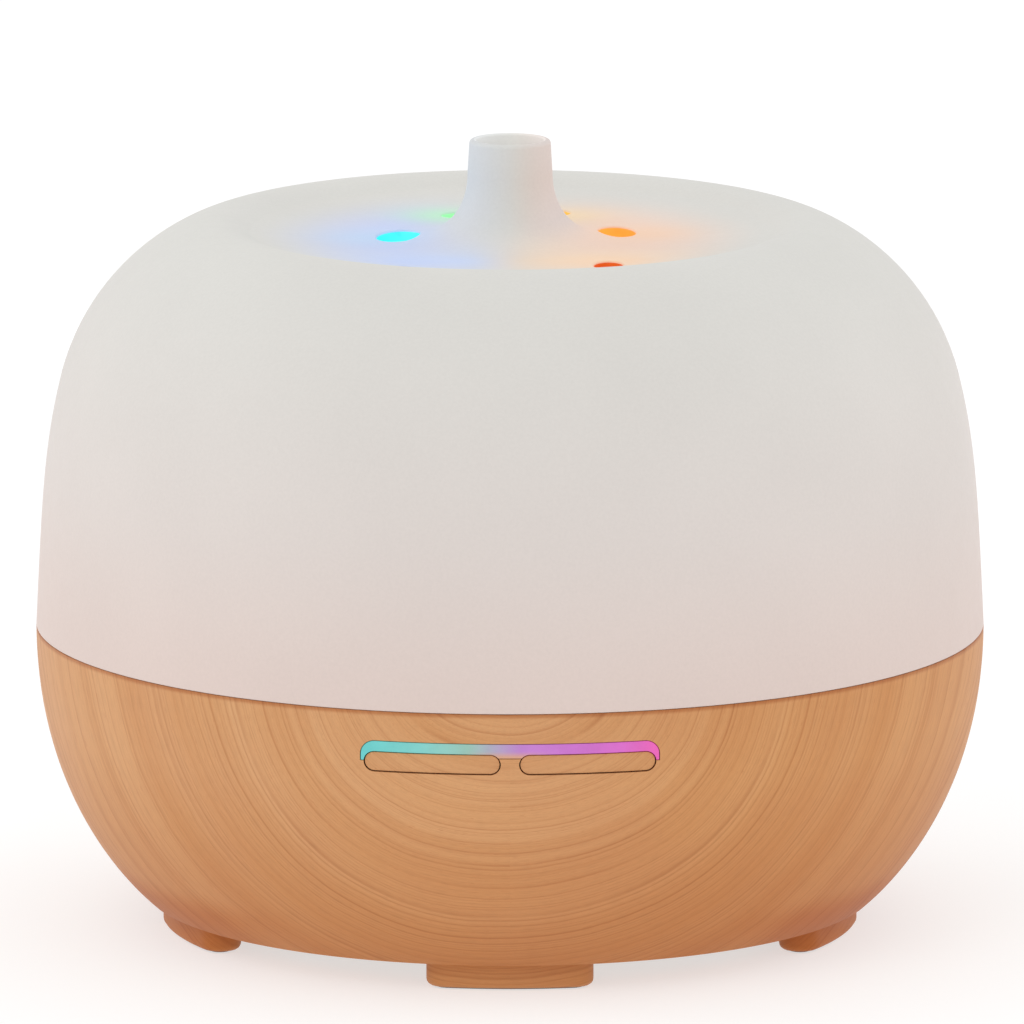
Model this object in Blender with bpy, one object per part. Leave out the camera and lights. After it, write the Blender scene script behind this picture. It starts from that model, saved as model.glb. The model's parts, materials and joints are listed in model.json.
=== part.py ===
"""Tabletop essential oil diffuser: a wood-grain bowl on five feet, a white lift-off cover with a
chimney, and the water tank, ultrasonic disc, fan, lights and electronics inside.

Run with blender --background --python part.py. The Z axis is the axis of the round body, the
table is z = 0 and the buttons face -Y. Sizes below are in millimetres, and every mesh is scaled
to metres when its object is made.
"""

import math

import bmesh
import bpy
from mathutils import Matrix, Vector

MM = 0.001
GAP = 0.3
SHELL_STEPS = 36
RING_STEPS = 28
TUBE_STEPS = 20
ROD_STEPS = 10
SCREW_STEPS = 8

# Outer form
RADIUS = 84.0
SEAM_Z = 53.7
HEIGHT = 140.3
UNDERSIDE_Z = 5.1
UNDERSIDE_RADIUS = 64.5
SHELL_WALL = 2.2
COVER_WALL = 2.0
CREST = (52.0, 125.9)
SHOULDER = (79.93, 96.0)
ROLL = (45.6, 123.9)
VALLEY = (20.0, 122.6)
CHIMNEY_RADIUS = 7.5
NOZZLE_RADIUS = 6.0
CHIMNEY_TOP_RADIUS = 7.2

# Windows in the crater: azimuth in degrees from +X, distance out, two widths, azimuth of the first
WINDOWS = (
    (20.0, 20.1, 6.6, 11.3, 9.0),
    (75.0, 27.4, 7.4, 7.0, 0.0),
    (109.5, 25.5, 7.6, 6.4, 0.0),
    (173.0, 19.9, 7.4, 12.4, -12.5),
    (240.0, 38.0, 5.2, 7.0, 0.0),
    (301.6, 32.9, 5.2, 9.0, 0.0),
)

# Feet
FOOT_COUNT = 5
FOOT_OUTER_RADIUS = 62.0
FOOT_INNER_RADIUS = 54.6
FOOT_HALF_ANGLE = 14.4
FOOT_Z = 0.3
PAD_MARGIN = 1.3
PAD_THICKNESS = 1.5

# Buttons and the light bar above them
BUTTON_INNER_X = 1.8
BUTTON_OUTER_X = 25.1
BUTTON_Z = 44.7
BUTTON_HEIGHT = 3.3
BUTTON_MID_X = (BUTTON_INNER_X + BUTTON_OUTER_X) / 2
BAR_HALF_WIDTH = 25.8
BAR_TOP_Z = 48.35
BAR_HOOK_Z = 44.9
BAR_WEB_Z = 45.9
BAR_CORNER = 2.4
BAR_GAP = 0.14
BAR_REAR_Y = -75.6
FLANGE_OUTER_RADIUS = 80.9
FLANGE_INNER_RADIUS = 79.7
BOARD_FRONT_Y = -72.6
BOARD_REAR_Y = -71.0
BOARD_SCREW_X = 20.0
BOARD_SCREW_Z = 37.8
SWITCH_FRONT_Y = -76.6
BUTTON_TRAVEL = 0.6

# Tank
TANK_RIM_RADIUS = 80.4
TANK_RIM_Z = 58.0
TANK_WALL = 2.0
TANK_FLANGE_Z = 50.4
TANK_FLOOR_Z = 26.0
LEDGE_Z = 48.6

# Ultrasonic disc
WELL_RADIUS = 6.5
DISC_RADIUS = 8.8
CLAMP_RADIUS = 14.0
CLAMP_SCREW_RADIUS = 11.8

# Fan and air path
FAN_Y = 29.0
FAN_SIDE = 30.0
FAN_Z = 7.6
FAN_HEIGHT = 10.0
FAN_BORE = 14.0
TOWER_BORE = 9.5
TOWER_RADIUS = 11.5
TOWER_TOP_Z = 72.0
FAN_SCREWS = ((12.0, FAN_Y + 12.0), (-12.0, FAN_Y - 12.0))

# Bottom cover and its screws
BOTTOM_RADIUS = 52.7
BOTTOM_TOP_Z = 7.3
CASE_SCREW_RADIUS = 50.0
CASE_SCREW_ANGLES = (45.0, 135.0, 225.0, 315.0)

# Circuit boards under the tank
MAIN_BOARD_Z = 10.6
BOARD_THICKNESS = 1.6
BOARD_POSTS = ((22.0, -36.0), (-22.0, -13.0))
LED_BOARD_Z = 19.0
LED_RING_RADIUS = 22.0
LED_ARC = (138.0, 402.0)
LED_COUNT = 6
LED_POST_ANGLES = (174.0, 270.0, 366.0)

# Power inlet at the back
INLET_Z = 19.0
INLET_FRONT_Y = 70.5
INLET_RADIUS = 5.9


# ---------------------------------------------------------------- curves and shapes


def bezier(start, first, second, end, steps):
    """Points of a cubic curve from start to end, both included."""
    points = []
    for k in range(steps + 1):
        t = k / steps
        weights = ((1 - t) ** 3, 3 * t * (1 - t) ** 2, 3 * t * t * (1 - t), t**3)
        corners = (start, first, second, end)
        points.append(tuple(sum(w * c[i] for w, c in zip(weights, corners)) for i in (0, 1)))
    return points


def offset(points, distance):
    """The points moved sideways, to the left of their direction of travel."""
    moved = []
    for k, point in enumerate(points):
        before = Vector(points[max(k - 1, 0)])
        after = Vector(points[min(k + 1, len(points) - 1)])
        along = (after - before).normalized()
        moved.append((point[0] - along.y * distance, point[1] + along.x * distance))
    return moved


def arc(centre, radius, start, stop, steps):
    """Points of a circular arc, with angles in degrees."""
    points = []
    for k in range(steps + 1):
        angle = math.radians(start + (stop - start) * k / steps)
        points.append((centre[0] + radius * math.cos(angle), centre[1] + radius * math.sin(angle)))
    return points


def around(count, start=0.0):
    """Equally spaced azimuths in degrees."""
    return [start + 360.0 * k / count for k in range(count)]


def polar(radius, azimuth, z=0.0):
    angle = math.radians(azimuth)
    return Vector((radius * math.cos(angle), radius * math.sin(angle), z))


def append(shape, other):
    """Adds another drawn shape to this one."""
    mesh = bpy.data.meshes.new("transfer")
    other.to_mesh(mesh)
    other.free()
    shape.from_mesh(mesh)
    bpy.data.meshes.remove(mesh)


def add_turned(shape, outline, steps=RING_STEPS, centre=(0.0, 0.0, 0.0), along="Z"):
    """Adds the closed outline of (radius, height) points, turned once round an axis."""
    ring = bmesh.new()
    turn = Matrix.Rotation(-math.pi / 2, 4, "X") if along == "Y" else Matrix.Identity(4)
    corners = [ring.verts.new((r, 0.0, z)) for r, z in outline]
    edges = []
    for a, b in zip(corners, corners[1:] + corners[:1]):
        if a.co.x > 0 or b.co.x > 0:
            edges.append(ring.edges.new((a, b)))
    bmesh.ops.spin(
        ring,
        geom=corners + edges,
        cent=(0, 0, 0),
        axis=(0, 0, 1),
        angle=math.tau,
        steps=steps,
        use_merge=True,
    )
    bmesh.ops.remove_doubles(ring, verts=ring.verts, dist=1e-4)
    bmesh.ops.transform(ring, verts=ring.verts, matrix=Matrix.Translation(centre) @ turn)
    append(shape, ring)


def add_prism(shape, outline, low, high, axis="Z"):
    """Adds the closed outline extruded along an axis; its points are (x, y), or (x, z) along Y."""
    order = {"Z": lambda u, v, w: (u, v, w), "Y": lambda u, v, w: (u, w, v)}[axis]
    base = [shape.verts.new(order(u, v, low)) for u, v in outline]
    face = shape.faces.new(base)
    made = bmesh.ops.extrude_face_region(shape, geom=[face])
    top = [item for item in made["geom"] if isinstance(item, bmesh.types.BMVert)]
    step = Vector(order(0.0, 0.0, high - low))
    bmesh.ops.translate(shape, verts=top, vec=step)


def add_box(shape, low, high):
    """Adds a box between two corners."""
    size = Vector(high) - Vector(low)
    middle = (Vector(high) + Vector(low)) / 2
    matrix = Matrix.Translation(middle) @ Matrix.Diagonal((*size, 1.0))
    bmesh.ops.create_cube(shape, size=1.0, matrix=matrix)


def add_rod(shape, radius, start, end, steps=ROD_STEPS):
    """Adds a cylinder from one point to another."""
    line = Vector(end) - Vector(start)
    turn = line.to_track_quat("Z", "Y").to_matrix().to_4x4()
    matrix = Matrix.Translation((Vector(start) + Vector(end)) / 2) @ turn
    bmesh.ops.create_cone(
        shape,
        cap_ends=True,
        segments=steps,
        radius1=radius,
        radius2=radius,
        depth=line.length,
        matrix=matrix,
    )


def sector(inner, outer, azimuth, half_angle, steps=6):
    """The plan outline of a block between two radii, as (x, y) points."""
    start, stop = azimuth - half_angle, azimuth + half_angle
    out = [tuple(polar(outer, start + (stop - start) * k / steps)[:2]) for k in range(steps + 1)]
    back = [tuple(polar(inner, stop + (start - stop) * k / steps)[:2]) for k in range(steps + 1)]
    return out + back


def stadium(low_x, high_x, mid_z, height, steps=6):
    """The outline of a bar with fully round ends, as (x, z) points."""
    radius = height / 2
    right = arc((high_x - radius, mid_z), radius, -90, 90, steps)
    left = arc((low_x + radius, mid_z), radius, 90, 270, steps)
    return right + left


def oval(centre, first, second, lean, steps=14):
    """An ellipse in plan whose first width lies along the azimuth lean."""
    points = []
    for k in range(steps):
        angle = math.tau * k / steps
        point = centre + polar(first / 2 * math.cos(angle), lean)
        point += polar(second / 2 * math.sin(angle), lean + 90)
        points.append((point.x, point.y))
    return points


# ---------------------------------------------------------------- objects


def finish(name, colour, roughness, metallic=0.0, alpha=1.0):
    """A plain material with one Principled shader."""
    material = bpy.data.materials.new(name)
    material.use_nodes = True
    shader = material.node_tree.nodes["Principled BSDF"]
    shader.inputs["Base Color"].default_value = (*colour, 1.0)
    shader.inputs["Roughness"].default_value = roughness
    shader.inputs["Metallic"].default_value = metallic
    shader.inputs["Alpha"].default_value = alpha
    return material


def piece(name, shape, material=None, origin=(0.0, 0.0, 0.0), parent=None):
    """Makes an object, in metres, of a shape drawn in millimetres. Its origin is at origin."""
    bmesh.ops.recalc_face_normals(shape, faces=shape.faces)
    bmesh.ops.translate(shape, verts=shape.verts, vec=-Vector(origin))
    bmesh.ops.scale(shape, verts=shape.verts, vec=(MM, MM, MM))
    mesh = bpy.data.meshes.new(name)
    shape.to_mesh(mesh)
    shape.free()
    mesh.shade_smooth()
    mesh.set_sharp_from_angle(angle=math.radians(32))
    made = bpy.data.objects.new(name, mesh)
    bpy.context.scene.collection.objects.link(made)
    place(made, origin, parent)
    if material:
        mesh.materials.append(material)
    return made


def place(made, origin, parent):
    """Puts an object at a world point, below its parent if it has one."""
    spot = Vector(origin) * MM
    if parent:
        made.parent = parent
        spot -= parent.location
    made.location = spot


def empty(name, origin):
    made = bpy.data.objects.new(name, None)
    made.empty_display_size = 10 * MM
    made.location = Vector(origin) * MM
    bpy.context.scene.collection.objects.link(made)
    return made


def helper(name, shape):
    """A hidden object that only cuts, joins or trims another."""
    made = piece(name, shape)
    made.hide_render = True
    made.display_type = "WIRE"
    return made


def combine(target, operation, other):
    modifier = target.modifiers.new(other.name, "BOOLEAN")
    modifier.operation = operation
    modifier.solver = "EXACT"
    modifier.object = other


def cut(target, name, shape):
    combine(target, "DIFFERENCE", helper(name, shape))


def join(target, name, shape):
    combine(target, "UNION", helper(name, shape))


def trim(target, name, shape):
    combine(target, "INTERSECT", helper(name, shape))


# ---------------------------------------------------------------- outlines of the two shells


def bowl_curve(steps):
    """The bowl's outside, from the seam down to the underside."""
    return bezier(
        (RADIUS, SEAM_Z),
        (RADIUS, 20.6),
        (UNDERSIDE_RADIUS + 0.76, UNDERSIDE_Z + 0.76),
        (UNDERSIDE_RADIUS, UNDERSIDE_Z),
        steps,
    )


def cover_side_curve(steps):
    """The cover's outside, from the seam up to the crest."""
    low = bezier(
        (RADIUS, SEAM_Z + GAP / 2),
        (RADIUS - 1.0, SEAM_Z + 20.0),
        (SHOULDER[0] + 2.76, SHOULDER[1] - 12.0),
        SHOULDER,
        steps,
    )
    high = bezier(
        SHOULDER,
        (SHOULDER[0] - 4.33, SHOULDER[1] + 20.6),
        (CREST[0] + 6.5, CREST[1]),
        CREST,
        steps + 2,
    )
    return low + high[1:]


def crater_curve(steps):
    """From the crest over a short roll, and down into the valley round the chimney."""
    roll = bezier(CREST, (CREST[0] - 3.1, CREST[1]), (ROLL[0] + 1.4, ROLL[1] + 0.38), ROLL, steps)
    valley_handle = (VALLEY[0] + 13.0, VALLEY[1])
    return roll + bezier(ROLL, (ROLL[0] - 4.0, ROLL[1] - 1.1), valley_handle, VALLEY, steps)[1:]


def chimney_curve(steps):
    """From the valley up the flare to the lip of the nozzle."""
    flare = bezier(
        VALLEY,
        (VALLEY[0] - 8.9, VALLEY[1]),
        (CHIMNEY_RADIUS, 127.9),
        (CHIMNEY_RADIUS, 134.4),
        steps,
    )
    lip = 0.6
    rounding = arc((CHIMNEY_TOP_RADIUS - lip, HEIGHT - lip), lip, 0, 90, 2)
    return flare[1:] + rounding + [(NOZZLE_RADIUS, HEIGHT)]


def add_bowl_form(shape, inset=0.0):
    """Adds the whole bowl as one solid, its outside moved in by inset."""
    outside = bowl_curve(9) if inset == 0 else offset(bowl_curve(9), -inset)
    top, bottom = outside[0][1], outside[-1][1]
    add_turned(shape, [(0.0, top)] + outside + [(0.0, bottom)], SHELL_STEPS)


# ---------------------------------------------------------------- cover


def make_outer_cover(parent):
    """The white cover: shoulder, crater, chimney and the spigot that holds the mist guide."""
    form = cover_side_curve(4) + crater_curve(3)[1:]
    outside = form + chimney_curve(5)
    spigot_radius = NOZZLE_RADIUS + 1.6
    spigot = [(NOZZLE_RADIUS, 116.0), (spigot_radius, 116.0), (spigot_radius, form[-1][1] - COVER_WALL)]
    inside = [point for point in offset(form, COVER_WALL)[::-1] if point[1] > 63.0]
    rim_radius = RADIUS - COVER_WALL - 1.0
    rim = [(RADIUS - COVER_WALL, 61.0), (rim_radius, 60.0), (rim_radius, SEAM_Z + GAP / 2)]
    shape = bmesh.new()
    add_turned(shape, outside + spigot + inside + rim, SHELL_STEPS)
    look = finish("cover_plastic", (0.86, 0.84, 0.80), 0.5)
    cover = piece("outer_cover", shape, look, parent=parent)
    windows = bmesh.new()
    for azimuth, distance, first, second, lean in WINDOWS:
        add_prism(windows, oval(polar(distance, azimuth), first, second, lean), 117.0, 130.0)
    cut(cover, "window_cutter", windows)


def make_mist_guide(parent):
    """The inner chimney: a socket on the cover's spigot, a tube, and a funnel over the disc."""
    socket = NOZZLE_RADIUS + 1.6 + GAP
    outside = [(9.4, 119.9), (9.4, 113.0), (8.2, 110.5), (8.0, 97.0), (13.0, 87.0)]
    inside = [(11.6, 87.0), (6.6, 97.0), (6.4, 114.6), (socket, 114.6), (socket, 119.9)]
    shape = bmesh.new()
    add_turned(shape, outside + inside, TUBE_STEPS)
    piece("mist_guide", shape, finish("guide_plastic", (0.82, 0.83, 0.84), 0.4), parent=parent)


def make_light_ring(parent):
    """A frosted ring under the crater that spreads the coloured light below the windows."""
    top = [(9.8, 119.9), (32.0, 119.9), (40.8, 120.5)]
    bottom = [(40.8, 118.9), (32.0, 118.3), (9.8, 118.3)]
    shape = bmesh.new()
    add_turned(shape, top + bottom)
    look = finish("light_ring_acrylic", (0.75, 0.85, 0.95), 0.3)
    piece("light_ring", shape, look, parent=parent)


# ---------------------------------------------------------------- bowl


def base_outline():
    """The bowl's wall, its ledge for the tank, and its floor round the bottom cover."""
    wall = RADIUS - 2.6
    floor_z = UNDERSIDE_Z + SHELL_WALL + 0.2
    rebate = BOTTOM_RADIUS + GAP
    outside = [(RADIUS, SEAM_Z - GAP / 2)] + bowl_curve(9)[1:]
    recess = [(rebate, UNDERSIDE_Z), (rebate, 7.6), (47.0, 7.6), (47.0, 10.0)]
    floor = [(55.2, 10.0), (55.2, floor_z), (62.2, floor_z)]
    inside = offset(bowl_curve(9), -SHELL_WALL)[::-1]
    inside = [point for point in inside if floor_z + 0.6 < point[1] < 43.0]
    ledge = [(wall, 44.6), (77.2, 47.6), (77.2, LEDGE_Z), (wall, LEDGE_Z)]
    return outside + recess + floor + inside + ledge + [(wall, SEAM_Z - GAP / 2)]


def add_feet(shape):
    for azimuth in around(FOOT_COUNT, -90.0):
        plan = sector(FOOT_INNER_RADIUS, FOOT_OUTER_RADIUS, azimuth, FOOT_HALF_ANGLE)
        add_prism(shape, plan, FOOT_Z, UNDERSIDE_Z + 1.4)


def pad_plan(azimuth, grow):
    """The plan of a rubber pad, which leaves an even margin inside its foot."""
    margin = PAD_MARGIN - grow
    turn = math.degrees(margin / FOOT_OUTER_RADIUS)
    inner = FOOT_INNER_RADIUS + margin
    return sector(inner, FOOT_OUTER_RADIUS - margin, azimuth, FOOT_HALF_ANGLE - turn)


def bar_outline(grow):
    """The light bar from the front: a band over both buttons whose ends hook down round them."""
    half, top, hook = BAR_HALF_WIDTH + grow, BAR_TOP_Z + grow, BAR_HOOK_Z - grow
    radius = BAR_CORNER + grow
    leg, web = BUTTON_OUTER_X - BUTTON_HEIGHT / 2, BAR_WEB_Z - grow
    right = arc((half - radius, top - radius), radius, 0, 90, 5)
    left = arc((radius - half, top - radius), radius, 90, 180, 5)
    below = [(-half, hook), (-leg, hook), (-leg, web), (leg, web), (leg, hook), (half, hook)]
    return right + left + below


def button_outline(side, grow):
    low, high = sorted((side * BUTTON_INNER_X, side * BUTTON_OUTER_X))
    return stadium(low - grow, high + grow, BUTTON_Z, BUTTON_HEIGHT + 2 * grow)


def add_button_slots(shape):
    for side in (-1, 1):
        add_prism(shape, button_outline(side, GAP), -92.0, -70.0, "Y")


def make_base_shell():
    """The wood-grain bowl, with its feet, front openings, inlet boss and screw bosses."""
    shape = bmesh.new()
    add_turned(shape, base_outline(), SHELL_STEPS)
    base = piece("base_shell", shape, finish("bowl_wood", (0.62, 0.35, 0.17), 0.55))
    cut_front_openings(base)
    add_inlet_boss(base)
    feet = bmesh.new()
    add_feet(feet)
    join(base, "feet_blocks", feet)
    pockets = bmesh.new()
    for azimuth in around(FOOT_COUNT, -90.0):
        add_prism(pockets, pad_plan(azimuth, GAP), -1.0, PAD_THICKNESS + GAP)
    cut(base, "pad_pockets", pockets)
    holes = bmesh.new()
    for azimuth in CASE_SCREW_ANGLES:
        spot = polar(CASE_SCREW_RADIUS, azimuth)
        add_rod(holes, 1.8, spot + Vector((0, 0, 6.5)), spot + Vector((0, 0, 11.0)))
    cut(base, "case_screw_holes", holes)


def cut_front_openings(base):
    room = bmesh.new()
    add_prism(room, sector(74.0, RADIUS - 2.8, -90.0, 24.0, 10), 40.6, 49.2)
    cut(base, "switch_room", room)
    bosses = bmesh.new()
    pilots = bmesh.new()
    for x in (-BOARD_SCREW_X, BOARD_SCREW_X):
        add_rod(bosses, 2.3, (x, -78.6, BOARD_SCREW_Z), (x, BOARD_FRONT_Y - GAP, BOARD_SCREW_Z))
        add_rod(pilots, 1.1, (x, -77.0, BOARD_SCREW_Z), (x, -71.0, BOARD_SCREW_Z))
    join(base, "board_bosses", bosses)
    cut(base, "board_pilots", pilots)
    slots = bmesh.new()
    add_button_slots(slots)
    cut(base, "button_slots", slots)
    bar = bmesh.new()
    add_prism(bar, bar_outline(BAR_GAP), -93.0, -71.0, "Y")
    cut(base, "bar_slot", bar)


def add_inlet_boss(base):
    """A boss for the power inlet, ending inside the wall, and the hole through both."""
    boss = bmesh.new()
    add_rod(boss, 8.4, (0, 64.0, INLET_Z), (0, 90.0, INLET_Z), TUBE_STEPS)
    boss = helper("inlet_boss", boss)
    form = bmesh.new()
    add_bowl_form(form, 1.0)
    trim(boss, "inlet_boss_form", form)
    combine(base, "UNION", boss)
    hole = bmesh.new()
    add_rod(hole, INLET_RADIUS + GAP, (0, 60.0, INLET_Z), (0, 95.0, INLET_Z), TUBE_STEPS)
    cut(base, "inlet_hole", hole)


def make_foot_pads():
    look = finish("pad_rubber", (0.10, 0.09, 0.08), 0.85)
    for number, azimuth in enumerate(around(FOOT_COUNT, -90.0), 1):
        shape = bmesh.new()
        add_prism(shape, pad_plan(azimuth, 0.0), 0.0, PAD_THICKNESS)
        piece(f"foot_pad_{number}", shape, look, polar(FOOT_OUTER_RADIUS, azimuth))


def slot_plan(x, mid_y, half_length, width):
    """A slot along Y with round ends, as (x, y) points."""
    radius = width / 2
    top = arc((x, mid_y + half_length - radius), radius, 0, 180, 3)
    bottom = arc((x, mid_y - half_length + radius), radius, 180, 360, 3)
    return top + bottom


def make_bottom_cover():
    """The round plate under the bowl, with the air inlet below the fan and the board's posts."""
    shape = bmesh.new()
    low = BOTTOM_TOP_Z - 2.0
    plate = [(0.0, low), (BOTTOM_RADIUS, low), (BOTTOM_RADIUS, BOTTOM_TOP_Z), (0.0, BOTTOM_TOP_Z)]
    add_turned(shape, plate, SHELL_STEPS)
    cover = piece("bottom_cover", shape, finish("bottom_plastic", (0.30, 0.20, 0.13), 0.6))
    posts = bmesh.new()
    for x, y in BOARD_POSTS:
        add_rod(posts, 2.5, (x, y, low + 1.0), (x, y, MAIN_BOARD_Z - GAP))
    join(cover, "board_posts", posts)
    holes = bmesh.new()
    for x, y in BOARD_POSTS:
        add_rod(holes, 1.15, (x, y, low + 1.0), (x, y, MAIN_BOARD_Z + 1.0))
    for azimuth in CASE_SCREW_ANGLES:
        add_screw_hole(holes, polar(CASE_SCREW_RADIUS, azimuth), 1.8, 3.1)
    for spot in FAN_SCREWS:
        add_screw_hole(holes, Vector((*spot, 0.0)), 1.6, 2.8)
    cut(cover, "plate_holes", holes)
    grille = bmesh.new()
    for x in range(-10, 11, 5):
        add_prism(grille, slot_plan(x, FAN_Y, math.sqrt(12.6**2 - x * x), 2.6), 4.0, 9.0)
    cut(cover, "grille_slots", grille)


def add_screw_hole(shape, spot, radius, head_radius):
    """A stepped hole: a counterbore from below and the shank's hole above it."""
    outline = [(0.0, 3.0), (head_radius, 3.0), (head_radius, 6.5), (radius, 6.5), (radius, 9.0)]
    add_turned(shape, outline + [(0.0, 9.0)], ROD_STEPS, spot)


def make_screw(name, size, spot, axis, look):
    """A pan-head screw. Its size is head radius, head height, shank radius and shank length."""
    head_radius, head_height, shank_radius, length = size
    crown = [(0.0, -head_height), (head_radius * 0.7, -head_height)]
    rim = [(head_radius, -head_height * 0.5), (head_radius, 0.0)]
    shank = [(shank_radius, 0.0), (shank_radius, length - 1.0), (shank_radius * 0.3, length)]
    shape = bmesh.new()
    add_turned(shape, crown + rim + shank + [(0.0, length)], SCREW_STEPS)
    turn = Vector(axis).to_track_quat("Z", "Y").to_matrix().to_4x4()
    bmesh.ops.transform(shape, verts=shape.verts, matrix=Matrix.Translation(spot) @ turn)
    screw = piece(name, shape, look, spot)
    slot = bmesh.new()
    add_rod(slot, head_radius * 0.4, (0, 0, -head_height - 1.0), (0, 0, -head_height * 0.55), 6)
    bmesh.ops.transform(slot, verts=slot.verts, matrix=Matrix.Translation(spot) @ turn)
    cut(screw, name + "_socket", slot)


def make_case_screws(look):
    for number, azimuth in enumerate(CASE_SCREW_ANGLES, 1):
        spot = polar(CASE_SCREW_RADIUS, azimuth, 6.2)
        make_screw(f"case_screw_{number}", (2.7, 1.3, 1.4, 12.6), spot, (0, 0, 1), look)


# ---------------------------------------------------------------- buttons and light bar


def make_button(name, side, look, parent):
    """A bar-shaped button, flush with the bowl, with a flange behind the wall."""
    origin = (side * BUTTON_MID_X, -80.0, BUTTON_Z)
    shape = bmesh.new()
    add_prism(shape, button_outline(side, 0.0), -92.0, -74.0, "Y")
    button = piece(name, shape, look, origin, parent)
    form = bmesh.new()
    add_bowl_form(form)
    trim(button, name + "_face", form)
    core = bmesh.new()
    add_rod(core, FLANGE_INNER_RADIUS + 0.4, (0, 0, 38.0), (0, 0, 52.0), 96)
    cut(button, name + "_core", core)
    flange = bmesh.new()
    azimuth = -90.0 + side * 9.75
    plan = sector(FLANGE_INNER_RADIUS, FLANGE_OUTER_RADIUS, azimuth, 7.9, 8)
    add_prism(flange, plan, BUTTON_Z - 3.3, BUTTON_Z + 1.5)
    join(button, name + "_flange", flange)


def make_plunger(name, side, look, parent):
    """The switch's plunger, which the button pushes in."""
    x = side * BUTTON_MID_X
    shape = bmesh.new()
    add_rod(shape, 1.2, (x, -77.7, BUTTON_Z), (x, SWITCH_FRONT_Y + 1.4, BUTTON_Z))
    piece(name, shape, look, (x, -77.7, BUTTON_Z), parent)


def make_switch(name, side, look):
    x = side * BUTTON_MID_X
    shape = bmesh.new()
    low = (x - 3.0, SWITCH_FRONT_Y, BUTTON_Z - 1.8)
    add_box(shape, low, (x + 3.0, BOARD_FRONT_Y - GAP, BUTTON_Z + 1.8))
    switch = piece(name, shape, look, (x, BOARD_FRONT_Y, BUTTON_Z))
    bore = bmesh.new()
    depth = 1.4 + BUTTON_TRAVEL + 0.4
    add_rod(bore, 1.5, (x, SWITCH_FRONT_Y - 1.0, BUTTON_Z), (x, SWITCH_FRONT_Y + depth, BUTTON_Z))
    cut(switch, name + "_bore", bore)


def make_button_board():
    shape = bmesh.new()
    add_box(shape, (-24.0, BOARD_FRONT_Y, 35.0), (24.0, BOARD_REAR_Y, 49.0))
    look = finish("button_board_laminate", (0.02, 0.22, 0.10), 0.4)
    board = piece("button_board", shape, look, (0.0, BOARD_FRONT_Y, 42.0))
    holes = bmesh.new()
    for x in (-BOARD_SCREW_X, BOARD_SCREW_X):
        add_rod(holes, 1.1, (x, -75.0, BOARD_SCREW_Z), (x, -69.0, BOARD_SCREW_Z))
    cut(board, "board_holes", holes)


def make_bar_leds():
    for name, side in (("bar_led_left", -1), ("bar_led_right", 1)):
        x = side * BUTTON_MID_X
        shape = bmesh.new()
        low = (x - 1.5, BOARD_FRONT_Y - GAP - 1.3, 46.9)
        add_box(shape, low, (x + 1.5, BOARD_FRONT_Y - GAP, 48.3))
        colour = (0.2, 0.8, 0.8) if side < 0 else (0.8, 0.2, 0.7)
        piece(name, shape, finish(name + "_lens", colour, 0.3), (x, BOARD_FRONT_Y, 47.6))


def make_light_guide():
    """The translucent bar above the buttons, which carries the two bar LEDs' light outside."""
    shape = bmesh.new()
    add_prism(shape, bar_outline(0.0), -93.0, BAR_REAR_Y, "Y")
    look = finish("light_guide_acrylic", (0.60, 0.65, 0.85), 0.25)
    guide = piece("light_guide", shape, look, (0.0, -80.0, BAR_TOP_Z))
    form = bmesh.new()
    add_bowl_form(form)
    trim(guide, "light_guide_face", form)
    slots = bmesh.new()
    add_button_slots(slots)
    cut(guide, "light_guide_slots", slots)


def make_controls(screw_look):
    wood = finish("button_wood", (0.62, 0.35, 0.17), 0.55)
    plunger = finish("plunger_plastic", (0.05, 0.05, 0.05), 0.5)
    switch = finish("switch_body", (0.08, 0.08, 0.09), 0.5)
    for name, side in (("left", -1), ("right", 1)):
        slide = empty(f"{name}_button_slide", (side * BUTTON_MID_X, -80.0, BUTTON_Z))
        make_button(f"{name}_button", side, wood, slide)
        make_plunger(f"{name}_plunger", side, plunger, slide)
        make_switch(f"{name}_switch", side, switch)
        spot = Vector((side * BOARD_SCREW_X, BOARD_REAR_Y + GAP, BOARD_SCREW_Z))
        make_screw(f"{name}_board_screw", (1.7, 1.2, 0.8, 5.3), spot, (0, -1, 0), screw_look)
    make_button_board()
    make_bar_leds()
    make_light_guide()


# ---------------------------------------------------------------- tank


def tank_outline():
    outer = bezier((50.5, TANK_FLOOR_Z), (61.5, TANK_FLOOR_Z), (66.7, 37.0), (67.6, TANK_FLANGE_Z), 5)
    floor = TANK_FLOOR_Z + TANK_WALL
    top = TANK_FLANGE_Z + TANK_WALL
    inner = bezier((50.0, floor), (60.0, floor), (64.6, 38.0), (65.6, top), 5)
    rim = TANK_RIM_RADIUS
    wall = [(rim, TANK_FLANGE_Z), (rim, TANK_RIM_Z), (rim - TANK_WALL, TANK_RIM_Z)]
    return [(WELL_RADIUS, TANK_FLOOR_Z)] + outer + wall + [(rim - TANK_WALL, top)] + inner[::-1] + [
        (WELL_RADIUS, floor)
    ]


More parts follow.
